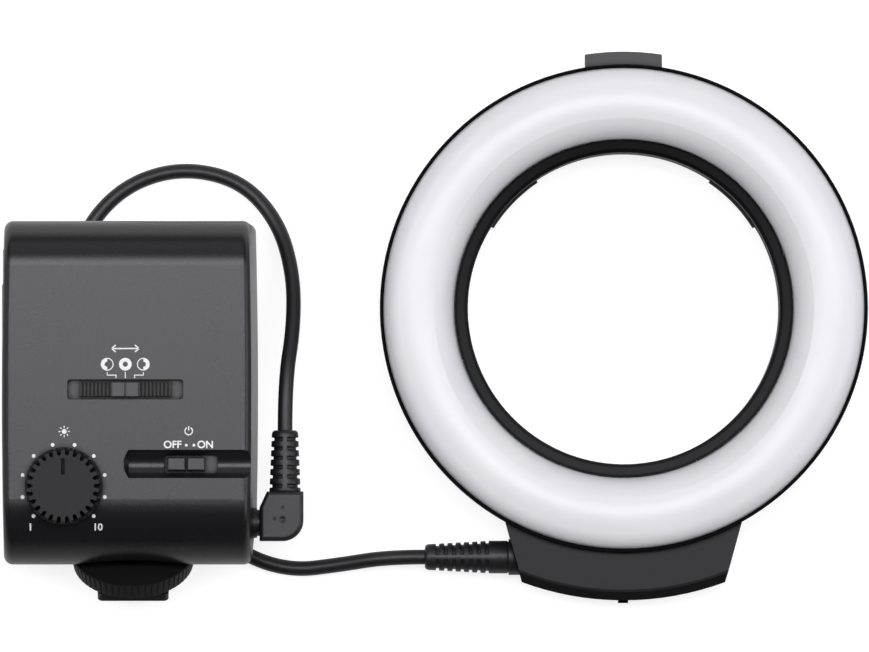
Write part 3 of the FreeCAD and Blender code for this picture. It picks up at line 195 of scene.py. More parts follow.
bm = bmesh.new()
bmesh.ops.create_circle(bm, cap_ends=True, radius=FLOOR_HALF, segments=64)
move(bm, (aim.x, aim.y, -FLOOR_DROP))
rim = [edge for edge in bm.edges if edge.is_boundary]
risen = bmesh.ops.extrude_edge_only(bm, edges=rim)["geom"]
bmesh.ops.translate(bm, verts=only(BMVert, risen), vec=(0, 0, WALL_HEIGHT))
floor = new_object("floor", bm)
print("floor is", 2 * FLOOR_HALF, "m across")

# %% [markdown]
# ## Building materials from nodes
#
# Every finish below is a small tree of nodes. Typing each link out by hand would bury what the
# finish is about, so one helper feeds a node's inputs: a value that is a socket is linked,
# anything else is set. Textures read Object coordinates, which are metres here, so a grain of
# 0.3 mm is a noise of scale 1 / 0.0003.

# %% Helpers for node trees
GRAIN_SPAN = (0.3, 0.7)


def blank_material(name):
    """A material with its tree, its shader and the place that its textures read."""
    made = bpy.data.materials.new(name)
    made.use_nodes = True
    tree = made.node_tree
    place = tree.nodes.new("ShaderNodeTexCoord").outputs["Object"]
    return made, tree, tree.nodes["Principled BSDF"], place


def feed(tree, node, inputs):
    """Link or set a node's inputs, by name or by index."""
    for key, value in inputs.items():
        if isinstance(value, bpy.types.NodeSocket):
            tree.links.new(value, node.inputs[key])
        else:
            node.inputs[key].default_value = value
    return node


def add_node(tree, kind, inputs, **settings):
    """Add a node, apply its settings and feed its inputs."""
    made = tree.nodes.new(kind)
    for name, value in settings.items():
        setattr(made, name, value)
    return feed(tree, made, inputs)


def maths(tree, operation, first, second):
    return add_node(tree, "ShaderNodeMath", {0: first, 1: second}, operation=operation).outputs[0]


def vector_maths(tree, operation, *inputs):
    """A number for a length or a dot product, otherwise a vector."""
    made = add_node(tree, "ShaderNodeVectorMath", dict(enumerate(inputs)), operation=operation)
    return made.outputs["Value" if operation in ("LENGTH", "DOT_PRODUCT") else "Vector"]


def coordinate(tree, place, axis):
    """One coordinate of a place, with 0, 1 and 2 for X, Y and Z."""
    return add_node(tree, "ShaderNodeSeparateXYZ", {0: place}).outputs[axis]


def distance_from(tree, value, middle):
    return maths(tree, "ABSOLUTE", maths(tree, "SUBTRACT", value, middle), 0.0)


def spread(tree, value, low, high, new_low, new_high):
    """Stretch the part of a value between low and high to a new span."""
    made = add_node(tree, "ShaderNodeMapRange", {"Value": value, "From Min": low, "From Max": high,
                                                 "To Min": new_low, "To Max": new_high})
    return made.outputs["Result"]


def noise(tree, place, size, detail=2.0):
    """A noise with features of about the given size in metres, from 0 to 1."""
    made = add_node(tree, "ShaderNodeTexNoise",
                    {"Vector": place, "Scale": 1 / size, "Detail": detail})
    return made.outputs["Fac"]


def clouds(tree, place, size, detail=2.0):
    """The same noise, stretched so that it reaches both 0 and 1."""
    return spread(tree, noise(tree, place, size, detail), *GRAIN_SPAN, 0.0, 1.0)


print("node helpers ready")

# %% Helpers for colours, edges and grain
def grey(value, tint=0.0):
    """An opaque grey, a little bluer where tint is above zero."""
    return (value, value, value + tint, 1)


def shaded(colour, factor):
    """An opaque colour made darker or paler."""
    return tuple(min(1.0, factor * c) for c in colour[:3]) + (1,)


def blend_colours(tree, share, first, second):
    """From the first colour to the second as share goes from 0 to 1."""
    made = add_node(tree, "ShaderNodeMix", {}, data_type="RGBA")
    shown = {s.name: index for index, s in enumerate(made.inputs) if s.enabled}
    feed(tree, made, {shown["Factor"]: share, shown["A"]: first, shown["B"]: second})
    return next(s for s in made.outputs if s.enabled)


def rounded_edge(tree, radius):
    """The normal that the surface would have with its edges rounded."""
    return add_node(tree, "ShaderNodeBevel", {"Radius": radius}, samples=4).outputs["Normal"]


def edge_match(tree, rounded):
    """1 on open faces, less where the rounded normal parts from the true one."""
    true_normal = add_node(tree, "ShaderNodeNewGeometry", {}).outputs["Normal"]
    return vector_maths(tree, "DOT_PRODUCT", rounded, true_normal)


def paint(tree, shader, colour):
    tree.links.new(colour, shader.inputs["Base Color"])


def roughen(tree, shader, grain, low, high):
    """Let a grain vary the roughness between two values."""
    tree.links.new(spread(tree, grain, *GRAIN_SPAN, low, high), shader.inputs["Roughness"])


def emboss(tree, shader, grain, depth, **normal):
    """Turn a grain into a relief of a depth in metres, over a Normal if one is given."""
    bump = add_node(tree, "ShaderNodeBump", {"Height": grain, "Strength": 1.0, "Distance": depth,
                                             **normal})
    tree.links.new(bump.outputs["Normal"], shader.inputs["Normal"])


print("surface helpers ready")

# %% Give the floor and the world their light
FLOOR_COLOUR = 0.4
FLOOR_GLOW = 0.8
MIRRORED_GLOW_NEAR = 0.05
MIRRORED_GLOW_FAR = 1.0
NEAR_Y = -0.15
FAR_Y = 0.2
WORLD_STRENGTH = 0.045


def floor_finish():
    """A table that shines for the camera, and more in reflections the farther off it is."""
    made, tree, shader, place = blank_material("table_white")
    feed(tree, shader, {"Base Color": grey(FLOOR_COLOUR), "Roughness": 0.9,
                        "Specular IOR Level": 0.1})
    rays = add_node(tree, "ShaderNodeLightPath", {}).outputs
    seen = maths(tree, "MAXIMUM", rays["Is Camera Ray"], rays["Is Transmission Ray"])
    direct = maths(tree, "MULTIPLY", seen, FLOOR_GLOW)
    share = spread(tree, coordinate(tree, place, 1), NEAR_Y, FAR_Y, MIRRORED_GLOW_NEAR,
                   MIRRORED_GLOW_FAR)
    mirrored = maths(tree, "MULTIPLY", rays["Is Glossy Ray"], share)
    glow = add_node(tree, "ShaderNodeEmission", {"Strength": maths(tree, "ADD", direct, mirrored)})
    both = add_node(tree, "ShaderNodeAddShader", {0: shader.outputs[0], 1: glow.outputs[0]})
    tree.links.new(both.outputs[0], tree.nodes["Material Output"].inputs["Surface"])
    return made


floor.data.materials.append(floor_finish())
world = bpy.data.worlds.new("studio")
world.use_nodes = True
feed(world.node_tree, world.node_tree.nodes["Background"],
     {"Color": grey(1.0), "Strength": WORLD_STRENGTH})
scene.world = world
scene.view_settings.view_transform = "Standard"
print("world strength", WORLD_STRENGTH)

# %% [markdown]
# ## The lamps
#
# The flat panel of the box mirrors a long soft light that hangs over the table, a little towards
# the top of the picture. It is narrow in that direction: the flat face is pale, the start of the
# round top catches its middle and is paler still, and both rounds then fall off to dark at once.
# A weaker light beyond the object and two at the sides keep the rest readable. The diffuser
# needs more light than any of these give, so a broad fill hangs above that black surfaces don't
# mirror; being black, they hardly show it.

# %% Hang the lamps
LAMP_COLOUR = (0.975, 0.965, 1.0)


def soft_lamp(name, place, width, depth, watts, mirrored=True):
    """A lamp that faces the aim, placed in metres from it and up from the table."""
    data = bpy.data.lights.new(name, "AREA")
    data.shape = "RECTANGLE"
    data.size = width
    data.size_y = depth
    data.energy = watts
    data.color = LAMP_COLOUR
    made = bpy.data.objects.new(name, data)
    scene.collection.objects.link(made)
    made.location = (aim.x + place[0], aim.y + place[1], place[2])
    made.rotation_mode = "QUATERNION"
    made.rotation_quaternion = (aim - made.location).to_track_quat("-Z", "Y")
    made.visible_camera = False
    made.visible_glossy = mirrored


soft_lamp("over_table", (0, 0.23, 1.55), 2.4, 0.54, 23)
soft_lamp("beyond", (0, 1.9, 1.5), 3.0, 1.2, 7)
soft_lamp("left_side", (-1.5, 0.1, 0.8), 0.8, 0.8, 2)
soft_lamp("right_side", (1.5, -0.2, 0.8), 0.8, 0.8, 5)
soft_lamp("fill", (0, -0.1, 2.2), 2.6, 2.6, 5, mirrored=False)

# %% [markdown]
# ## Moulded plastic
#
# The shells are black plastic from a spark-eroded mould: a fine matte grain that turns a sharp
# reflection into a soft one. Colour alone would look like paint, so the finish has a broad
# cloudiness, a fine grain in the relief, and edges that are rounded and polished by handling.
# The edge comes from the Bevel node: where the rounded normal parts from the true one, there is
# an edge nearby, and there the plastic is a little paler and smoother. The parting line is a thin
# dark line. Shade is painted in as well: narrow gaps get a painted shade, and so do the ring's
# outer rim, the slanting edge of its base and the ribbed ends of the slider, while the bore ring
# is painted darker towards +Y and mirrors more towards -Y. Each of these is a share that the
# reflection is multiplied by, and that takes the colour towards black.

# %% A finish for moulded plastic
CREVICE_REACH = 1.6 * MM
SEAM_HALF = 0.1 * MM
RIM_FADE = 0.4 * MM
AREA_FADE = 0.2 * MM
PAINTED_LIGHT_REACH = 45 * MM
ABOVE_ALL = 1.0


def crevice_shade(tree, place, seam, shaded_rim_from):
    """1 in the open; painted shade in narrow gaps and above a rim's height, and a dark parting
    line.
    """
    # Painted shade in narrow gaps, from ambient occlusion.
    opening = add_node(tree, "ShaderNodeAmbientOcclusion", {"Distance": CREVICE_REACH}, samples=4)
    shade = spread(tree, opening.outputs["AO"], 0.35, 0.85, 0.15, 1.0)
    if seam is None:
        return shade
    height = coordinate(tree, place, 2)
    off = distance_from(tree, height, seam)
    line = spread(tree, off, SEAM_HALF, 2 * SEAM_HALF, 0.1, 1.0)
    # Painted shade on the ring's outer rim, above its height.
    rim = spread(tree, height, shaded_rim_from, shaded_rim_from + RIM_FADE, 1.0, 0.12)
    return maths(tree, "MULTIPLY", maths(tree, "MULTIPLY", shade, line), rim)


def painted_shade_beyond(tree, place, centre, stretch, limit, share):
    """1 near a point in plan, and a smaller share from a distance on, for an area of painted shade.
    """
    off = vector_maths(tree, "SUBTRACT", place, (*centre, 0))
    flat = vector_maths(tree, "MULTIPLY", off, (*stretch, 0))
    length = vector_maths(tree, "LENGTH", flat)
    return spread(tree, length, limit, limit + AREA_FADE, 1.0, share)


def moulded_plastic(name, colour, roughness, specular, edge=0.25 * MM, grain=0.3 * MM,
                    relief=0.006 * MM, polish=2.0, seam=None, shaded_rim_from=ABOVE_ALL, painted_light_lean=None,
                    shaded_area=None):
    """Moulded plastic with painted shade in its gaps; a pair of shares can paint light and shade
    along Y, and an area can get painted shade.
    """
    made, tree, shader, place = blank_material(name)
    shade = crevice_shade(tree, place, seam, shaded_rim_from)
    # Painted light and shade along Y: less reflection and a darker colour towards +Y, more
    # reflection towards -Y.
    if painted_light_lean is not None:
        along = spread(tree, coordinate(tree, place, 1), PAINTED_LIGHT_REACH, -PAINTED_LIGHT_REACH, *painted_light_lean)
        shade = maths(tree, "MULTIPLY", shade, along)
    # Painted shade over the area beyond a distance from a point.
    if shaded_area is not None:
        shade = maths(tree, "MULTIPLY", shade, painted_shade_beyond(tree, place, *shaded_area))
    tree.links.new(maths(tree, "MULTIPLY", shade, specular), shader.inputs["Specular IOR Level"])
    rounded = rounded_edge(tree, edge)
    worn = spread(tree, edge_match(tree, rounded), 0.98, 0.8, 0.0, 1.0)
    patchy = spread(tree, noise(tree, place, 3 * MM), 0.35, 0.7, 0.2, 1.0)
    worn = maths(tree, "MULTIPLY", worn, patchy)
    body = blend_colours(tree, clouds(tree, place, 14 * MM, 3.0), shaded(colour, 0.9), colour)
    body = blend_colours(tree, worn, body, shaded(colour, polish))
    # Painted shade: the colour goes towards black where the shade share falls.
    paint(tree, shader, blend_colours(tree, shade, grey(0.001), body))
    fine = noise(tree, place, grain)
    mottled = spread(tree, fine, *GRAIN_SPAN, roughness - 0.04, roughness + 0.04)
    smooth = maths(tree, "MULTIPLY", worn, 0.08)
    tree.links.new(maths(tree, "SUBTRACT", mottled, smooth), shader.inputs["Roughness"])
    emboss(tree, shader, fine, relief, Normal=rounded)
    return made


print("moulded plastic can be mixed")

# %% The plastics of this object
def box_of(name):
    """The low corner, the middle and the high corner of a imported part."""
    low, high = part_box(name)
    return low, (low + high) / 2, high


BOX_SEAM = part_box("box_rear_shell")[1].z
RING_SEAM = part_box("ring_rear_cover")[1].z
RING_RIM = 16.8 * MM
BASE_FACE_END = 74.3 * MM
SLIDER_UNSHADED_HALF = 3.7 * MM
slider_middle = box_of("position_slider")[1]
box_finish = moulded_plastic("box_plastic", grey(0.009, 0.001), 0.3, 0.48, grain=0.22 * MM,
                             relief=0.002 * MM, seam=BOX_SEAM)
# The ring gets painted shade on its outer rim and on the slanting edge of its base.
ring_finish = moulded_plastic("ring_plastic", grey(0.008, 0.001), 0.42, 0.26, relief=0.003 * MM,
                              polish=1.3, seam=RING_SEAM, shaded_rim_from=RING_RIM,
                              shaded_area=((0, 0), (1, 1), BASE_FACE_END, 0.3))
# The bore ring gets painted shade towards +Y and painted light towards -Y.
bore_finish = moulded_plastic("bore_plastic", grey(0.007, 0.001), 0.5, 0.16, relief=0.003 * MM,
                              polish=1.2, painted_light_lean=(0.35, 1.5))
button_finish = moulded_plastic("button_plastic", grey(0.012, 0.002), 0.38, 0.42)
knob_finish = moulded_plastic("knob_plastic", grey(0.009, 0.001), 0.45, 0.24, edge=0.12 * MM,
                              relief=0.003 * MM, polish=1.6)
slider_finish = moulded_plastic("slider_plastic", grey(0.012, 0.001), 0.32, 0.5, edge=0.15 * MM)
# The slider's ribbed ends get painted shade; its middle is left unshaded.
slider_end_shade_finish = moulded_plastic("slider_painted_shade", grey(0.012, 0.001), 0.32, 0.5, edge=0.15 * MM,
                                shaded_area=(slider_middle.xy, (1, 0), SLIDER_UNSHADED_HALF, 0.5))
wheel_finish = moulded_plastic("wheel_plastic", grey(0.008), 0.5, 0.3, edge=0.2 * MM)
inner_finish = moulded_plastic("tray_plastic", grey(0.02), 0.5, 0.4, edge=0.2 * MM)
part_finish = moulded_plastic("component_moulding", grey(0.025), 0.4, 0.4, edge=0.12 * MM)
print("plastics made")

# %% [markdown]
# ## The milky diffuser
#
# The diffuser is a 1.6 mm moulding of milky acrylic. A white paint would look dead: the real one
# lets light in a short way and gives it back, which softens its shading. A little subsurface
# scattering does that, under a satin skin with a very faint unevenness from the mould.

# %% A finish for the diffuser
def milky_acrylic():
    made, tree, shader, place = blank_material("milky_acrylic")
    paint(tree, shader, blend_colours(tree, clouds(tree, place, 22 * MM, 3.0),
                                      (0.84, 0.84, 0.865, 1), (0.87, 0.87, 0.89, 1)))
    fine = noise(tree, place, 0.6 * MM)
    roughen(tree, shader, fine, 0.3, 0.38)
    feed(tree, shader, {"Subsurface Weight": 0.25, "Subsurface Radius": (1.0, 1.0, 1.0),
                        "Subsurface Scale": 1.2 * MM})
    emboss(tree, shader, fine, 0.003 * MM)
    return made


diffuser_finish = milky_acrylic()
print("diffuser finish made")

# %% [markdown]
# ## Rubber, metal, boards and cells
#
# The lead and its mouldings are soft PVC: smoother than the shells, with a faint orange peel.
# The metals are plated steel with fine scratches along one direction, and a black satin coat
# on the foot that wears through to bright metal on its edges, where a shoe rubs. The boards have
# a solder resist over tracks. The cells have a plain printed sleeve between bare steel ends.

# %% A finish for rubber
def soft_rubber(name, colour, roughness):
    made, tree, shader, place = blank_material(name)
    dusty = shaded(colour, 1.25)
    paint(tree, shader, blend_colours(tree, clouds(tree, place, 9 * MM), colour, dusty))
    peel = noise(tree, place, 0.5 * MM)
    roughen(tree, shader, peel, roughness - 0.05, roughness + 0.05)
    emboss(tree, shader, peel, 0.008 * MM, Normal=rounded_edge(tree, 0.2 * MM))
    return made


rubber_finish = soft_rubber("lead_rubber", grey(0.01, 0.001), 0.42)
print("rubber made")

# %% Finishes for bare and coated metal
def plated_steel(name, colour, roughness):
    made, tree, shader, place = blank_material(name)
    feed(tree, shader, {"Metallic": 1.0})
    dull = shaded(colour, 0.82)
    paint(tree, shader, blend_colours(tree, clouds(tree, place, 4 * MM), dull, colour))
    stretched = add_node(tree, "ShaderNodeMapping", {"Vector": place, "Scale": (0.15, 1, 1)})
    lines = noise(tree, stretched.outputs["Vector"], 0.12 * MM)
    roughen(tree, shader, lines, roughness - 0.08, roughness + 0.1)
    emboss(tree, shader, lines, 0.002 * MM)
    return made


def coated_metal(name, coat, bare):
    made, tree, shader, place = blank_material(name)
    rounded = rounded_edge(tree, 0.2 * MM)
    edge = spread(tree, edge_match(tree, rounded), 0.96, 0.75, 0.0, 1.0)
    chipped = spread(tree, noise(tree, place, 0.8 * MM, 4.0), 0.5, 0.6, 0.0, 1.0)
    worn = maths(tree, "MULTIPLY", edge, chipped)
    paint(tree, shader, blend_colours(tree, worn, coat, bare))
    tree.links.new(worn, shader.inputs["Metallic"])
    fine = noise(tree, place, 0.25 * MM)
    roughen(tree, shader, fine, 0.32, 0.42)
    emboss(tree, shader, fine, 0.004 * MM, Normal=rounded)
    return made


steel_finish = plated_steel("plated_steel", (0.62, 0.62, 0.64, 1), 0.28)
contact_finish = plated_steel("contact_nickel", (0.72, 0.69, 0.62, 1), 0.22)
foot_finish = coated_metal("foot_black_coat", grey(0.02, 0.001), (0.6, 0.6, 0.62, 1))
print("metals made")

# %% Finishes for the boards, the lamps on them and the cells
TRACK_PITCH = 1.6 * MM
LAMP_CIRCLE = 53.8 * MM
PHOSPHOR_RADIUS = 0.95 * MM
PHOSPHOR_FADE = 0.1 * MM
CELL_BARE_END = 1.9 * MM
CELL_BAND_START = 12.0 * MM
CELL_FADE = 0.2 * MM


def circuit_board():
    made, tree, shader, place = blank_material("circuit_board")
    cells = add_node(tree, "ShaderNodeTexVoronoi", {"Vector": place, "Scale": 1 / TRACK_PITCH},
                     distance="CHEBYCHEV", feature="F1").outputs["Distance"]
    track = spread(tree, cells, 0.40, 0.46, 0.0, 1.0)
    resist = blend_colours(tree, track, (0.012, 0.09, 0.035, 1), (0.03, 0.17, 0.07, 1))
    pads = spread(tree, cells, 0.1, 0.07, 0.0, 1.0)
    paint(tree, shader, blend_colours(tree, pads, resist, (0.6, 0.58, 0.5, 1)))
    tree.links.new(pads, shader.inputs["Metallic"])
    roughen(tree, shader, noise(tree, place, 2 * MM), 0.25, 0.35)
    emboss(tree, shader, track, 0.02 * MM)
    return made


def lamp_package():
    """A white package with a yellow phosphor on the circle that the lamps stand on."""
    made, tree, shader, place = blank_material("lamp_package")
    flat = vector_maths(tree, "MULTIPLY", place, (1, 1, 0))
    off = distance_from(tree, vector_maths(tree, "LENGTH", flat), LAMP_CIRCLE)
    phosphor = spread(tree, off, PHOSPHOR_RADIUS + PHOSPHOR_FADE, PHOSPHOR_RADIUS, 0.0, 1.0)
    paint(tree, shader, blend_colours(tree, phosphor, grey(0.75), (0.8, 0.68, 0.2, 1)))
    roughen(tree, shader, noise(tree, place, 0.3 * MM), 0.25, 0.4)
    return made


def cell_sleeve():
    """A printed sleeve with a pale band, and bare steel at both ends."""
    made, tree, shader, place = blank_material("cell_sleeve")
    _, middle, high = box_of("aa_cell_1")
    printed = high.x - middle.x - CELL_BARE_END
    along = coordinate(tree, place, 0)
    off = distance_from(tree, along, middle.x)
    bare = spread(tree, off, printed, printed + CELL_FADE, 0.0, 1.0)
    band_start = middle.x + CELL_BAND_START
    band = spread(tree, along, band_start, band_start + CELL_FADE, 0.0, 1.0)
    sleeve = blend_colours(tree, band, (0.02, 0.05, 0.12, 1), (0.35, 0.36, 0.38, 1))
    paint(tree, shader, blend_colours(tree, bare, sleeve, grey(0.62)))
    tree.links.new(bare, shader.inputs["Metallic"])
    roughen(tree, shader, noise(tree, place, 0.8 * MM), 0.22, 0.34)
    return made


board_finish = circuit_board()
lamp_finish = lamp_package()
cell_finish = cell_sleeve()
print("boards, lamps and cells made")

# %% [markdown]
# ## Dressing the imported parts
#
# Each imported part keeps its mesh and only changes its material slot. A table of names is easier
# to check than forty-seven lines, and whatever isn't in it would stand out as an error.

# %% Assign the finishes
finishes = {
    box_finish: ["box_front_shell", "box_rear_shell", "battery_door"],
    ring_finish: ["ring_front_shell", "ring_rear_cover"],
    bore_finish: ["lens_bore_ring"],
    button_finish: ["release_button"],
    inner_finish: ["latch_claw_right", "latch_claw_left", "battery_cradle"],
    knob_finish: ["brightness_knob"],
    slider_finish: ["power_slider"],
    slider_end_shade_finish: ["position_slider"],
    wheel_finish: ["lock_wheel"],
    diffuser_finish: ["diffuser"],
    rubber_finish: ["cord", "ring_boot", "plug_boot", "plug_body", "plug_collar"],
    board_finish: ["led_board", "driver_board", "main_board"],
    lamp_finish: ["led_chips"],
    part_finish: ["driver_parts", "potentiometer", "position_switch", "power_switch", "jack"],
    steel_finish: ["ring_screws", "latch_pins", "button_spring", "box_screws", "board_screws",
                   "door_pin", "foot_bracket", "bracket_screws", "clamp_washer", "knob_shaft"],
    contact_finish: ["battery_contacts", "door_contacts", "plug_pin"],
    foot_finish: ["foot"],
    cell_finish: ["aa_cell_1", "aa_cell_2", "aa_cell_3", "aa_cell_4"],
}
dressed = []
for finish, names in finishes.items():
    for name in names:
        nodes[name].material_slots[0].material = finish
        dressed.append(name)
cord.data.materials.append(rubber_finish)
print("dressed", len(dressed), "undressed", sorted(set(nodes) - set(dressed)))

# %% [markdown]
# ## Strain reliefs with real slots
#
# Where the lead enters the plug and the ring, a tapered sleeve keeps it from kinking. It has rows
# of slots on its two sides, with a solid web between them at the front and at the back. Cutting
# slots with booleans leaves ragged faces. Here a tube is grown ring by ring from a list of
# stations, each a height, a radius and whether a slot lies above it, so that every slot is
# already a row of faces, and those faces are inset a little and pushed in.

# %% Grow a turned form from its stations
SLEEVE_SEGMENTS = 36
WEB_HALF_ANGLE = 10.0
END_ROUND = 0.9
THIN_END = ((0.3, 0.2), (0.0, 0.7))
SLOT_INSET = 0.05 * MM
SLOT_ROUND = 0.16 * MM
SHARP_ANGLE = 0.6


def grown_form(stations, segments):
    """A closed turned form along Z, and the faces that were marked as slots."""
    bm = bmesh.new()
    height, radius, is_slot = stations[0]
    bmesh.ops.create_circle(bm, radius=radius * MM, segments=segments,
                            matrix=Matrix.Translation((0, 0, height * MM)))
    ring = list(bm.edges)
    marked = []
    for next_height, next_radius, next_is_slot in stations[1:]:
        grown = bmesh.ops.extrude_edge_only(bm, edges=ring)["geom"]
        verts = only(BMVert, grown)
        ring = only(BMEdge, grown)
        if is_slot:
            marked += only(BMFace, grown)
        factor = next_radius / radius
        bmesh.ops.scale(bm, verts=verts, vec=(factor, factor, 1))
        bmesh.ops.translate(bm, verts=verts, vec=(0, 0, (next_height - height) * MM))
        height, radius, is_slot = next_height, next_radius, next_is_slot
    bmesh.ops.holes_fill(bm, edges=bm.edges)
    bmesh.ops.recalc_face_normals(bm, faces=bm.faces)
    return bm, marked


def sleeve_stations(start, length, wide, narrow, rows, start_pad, end_pad, slot_length):
    """The slotted taper of a sleeve, with its rounded thin end, all in millimetres."""
    pitch = (length - start_pad - end_pad - slot_length) / (rows - 1)

    def radius_at(along):
        return wide + (narrow - wide) * along / length

    stations = [(start, wide, False)]
    for row in range(rows):
        low = start_pad + pitch * row
        stations.append((start + low, radius_at(low), True))
        stations.append((start + low + slot_length, radius_at(low + slot_length), False))
    stations.append((start + length - END_ROUND, radius_at(length - END_ROUND), False))
    stations += [(start + length - before, narrow - less, False) for before, less in THIN_END]
    return stations


def press_slots(bm, marked, depth):
    """Push the marked faces in, except those of the webs that face +Y and -Y."""
    limit = math.cos(math.radians(WEB_HALF_ANGLE))
    middles = [(face, face.calc_center_median()) for face in marked]
    open_faces = [face for face, at in middles if abs(at.y) / math.hypot(at.x, at.y) < limit]
    bmesh.ops.inset_region(bm, faces=open_faces, thickness=SLOT_INSET, depth=-depth * MM,
                           use_even_offset=True)
    sharp = [e for e in bm.edges if len(e.link_faces) == 2 and e.calc_face_angle() > SHARP_ANGLE]
    bmesh.ops.bevel(bm, geom=sharp, offset=SLOT_ROUND, segments=2, affect="EDGES", profile=0.5,
                    material=-1, clamp_overlap=True)


def add_piece(name, bm, finish, body, angle=40):
    """Make a piece that rides on a body and takes a finish of its own.

    Its shading is smooth, but sharp where two faces meet at more than the angle in degrees.
    """
    print(name, "faces", len(bm.faces), "closed", all(e.is_manifold for e in bm.edges))
    made = new_object(name, bm)
    made.data.polygons.foreach_set("use_smooth", [True] * len(made.data.polygons))
    made.data.set_sharp_from_angle(angle=math.radians(angle))
    made.data.materials.append(finish)
    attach(made, body)
    return made


# %% The plug's sleeve
TO_Y = Matrix.Rotation(math.radians(-90), 3, "X")
boot_low, boot_middle, boot_high = box_of("plug_boot")
boot_length = (boot_high.y - boot_low.y) / MM
plug_stations = sleeve_stations(0.0, boot_length, wide=4.1, narrow=3.42, rows=6, start_pad=1.0,
                                end_pad=1.9, slot_length=0.85)
bm, marked = grown_form(plug_stations, SLEEVE_SEGMENTS)
press_slots(bm, marked, 0.7)
bmesh.ops.rotate(bm, verts=bm.verts, cent=(0, 0, 0), matrix=TO_Y)
move(bm, (boot_middle.x, boot_low.y, boot_middle.z))
plug_sleeve = add_piece("plug_sleeve", bm, rubber_finish, "root")
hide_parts("plug_boot")

# %% [markdown]
# ## The sleeve at the ring
#
# This one is moulded round a neck that the base block holds between its two halves: a disc inside
# the wall, the neck through the wall, a flange that lies against the slanted side of the block,
# and then a smooth collar before the slots begin. The flange's back is sheared to the slant, so
# that it meets the block all round.

# %% The ring's sleeve
BASE_HALF_WIDTH = 28.8 * MM
BASE_ROOT_Y = -64.0 * MM
BASE_SIDE_LEAN = math.radians(15.4)
BASE_GAP = 0.05 * MM
DISC_RADIUS = 4.0
DISC_FRONT = 1.6
NECK_RADIUS = 3.25
FLANGE_RADIUS = 4.72
FLANGE_BACK = 4.85
FLANGE_FRONT = 6.5
CREASE_RADIUS = 4.05
CREASE_FRONT = FLANGE_FRONT + 0.25
COLLAR_RADIUS = 4.3
COLLAR_END = 11.2
boot_low, boot_middle, boot_high = box_of("ring_boot")
ring_boot_length = (boot_high.x - boot_low.x) / MM
ring_stations = [
    (0.0, DISC_RADIUS, False), (DISC_FRONT, DISC_RADIUS, False), (DISC_FRONT, NECK_RADIUS, False),
    (FLANGE_BACK, NECK_RADIUS, False), (FLANGE_BACK, FLANGE_RADIUS, False),
    (FLANGE_FRONT, FLANGE_RADIUS, False), (FLANGE_FRONT, CREASE_RADIUS, False),
    (CREASE_FRONT, CREASE_RADIUS, False), (CREASE_FRONT, COLLAR_RADIUS, False),
]
ring_stations += sleeve_stations(COLLAR_END, ring_boot_length - COLLAR_END, wide=COLLAR_RADIUS,
                                 narrow=3.35, rows=7, start_pad=0.5, end_pad=2.9,
                                 slot_length=0.85)
bm, marked = grown_form(ring_stations, SLEEVE_SEGMENTS)
press_slots(bm, marked, 0.6)
back_verts = [v for v in bm.verts if abs(v.co.z - FLANGE_BACK * MM) < 0.3 * MM]
to_ring_side = Matrix(((0, 0, -1), (-1, 0, 0), (0, 1, 0))).to_4x4()
bmesh.ops.transform(bm, matrix=to_ring_side, verts=bm.verts)
move(bm, (boot_high.x, boot_middle.y, boot_middle.z))
straight_back = boot_high.x - FLANGE_BACK * MM
for vert in back_verts:
    side = BASE_HALF_WIDTH + (vert.co.y - BASE_ROOT_Y) * math.tan(BASE_SIDE_LEAN)
    vert.co.x += -side - BASE_GAP - straight_back
ring_sleeve = add_piece("ring_sleeve", bm, rubber_finish, "root")
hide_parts("ring_boot")

# %% [markdown]
# ## The knob
#
# The brightness knob is a steep cone with flutes that run out above its smooth foot, and a groove
# in its flat top. The outline of one flute is a short list of angles and radii, repeated
# twenty-six times round. The wall is grown from the roof of the shaft's bore, down, outwards and
# up again, in a few steps that each say a height, a radius and whether the flutes show. The top
# is then cut along the groove's four sides, and the face between them is pushed in.

# %% The knob's sizes
KNOB_FLUTES = 26
FLUTE_ANGLE = 360 / KNOB_FLUTES
FLUTE_DEEPEST = 8.12
FLUTE_OUTLINE = [(0.0, FLUTE_DEEPEST), (2.1, 8.25), (3.3, 8.65), (3.4, 9.5), (5.1, 9.56),
                 (FLUTE_ANGLE / 2, 9.57)]
BORE_RADIUS = 3.1
BORE_DEPTH = 4.4
KNOB_RADIUS = 9.95
KNOB_FOOT = 1.4
KNOB_HEIGHT = 6.0
KNOB_STATIONS = [
    (0.0, BORE_RADIUS, 0.0, False), (0.0, KNOB_RADIUS, 0.0, False), (0.15, 10.1, 0.0, False),
    (KNOB_FOOT, 9.98, 0.0, False), (KNOB_FOOT, KNOB_RADIUS, 0.0, True), (5.5, 9.6, 0.0, True),
    (5.85, 9.5, 0.08, True), (KNOB_HEIGHT, 9.3, 0.26, True), (KNOB_HEIGHT, 7.6, 0.0, False),
]
GROOVE_WIDTH = 0.95
GROOVE_START = 3.0
GROOVE_END = 7.1
GROOVE_DEPTH = 0.9
CUT_TOLERANCE = 0.0001 * MM


def flute_radius(angle, outer, shrink):
    """How far the fluted outline is from the axis at an angle in degrees."""
    off = abs((angle + FLUTE_ANGLE / 2) % FLUTE_ANGLE - FLUTE_ANGLE / 2)
    for (first, low), (last, high) in zip(FLUTE_OUTLINE, FLUTE_OUTLINE[1:]):
        if off <= last + 0.001:
            radius = low + (high - low) * (off - first) / (last - first)
            break
    inner = FLUTE_DEEPEST - shrink
    share = (outer - inner) / (FLUTE_OUTLINE[-1][1] - FLUTE_DEEPEST)
    return inner + (radius - FLUTE_DEEPEST) * share


def cylinder_place(angle, radius, height):
    return Vector((radius * math.cos(angle), radius * math.sin(angle), height)) * MM


print("one flute takes", round(FLUTE_ANGLE, 2), "degrees")

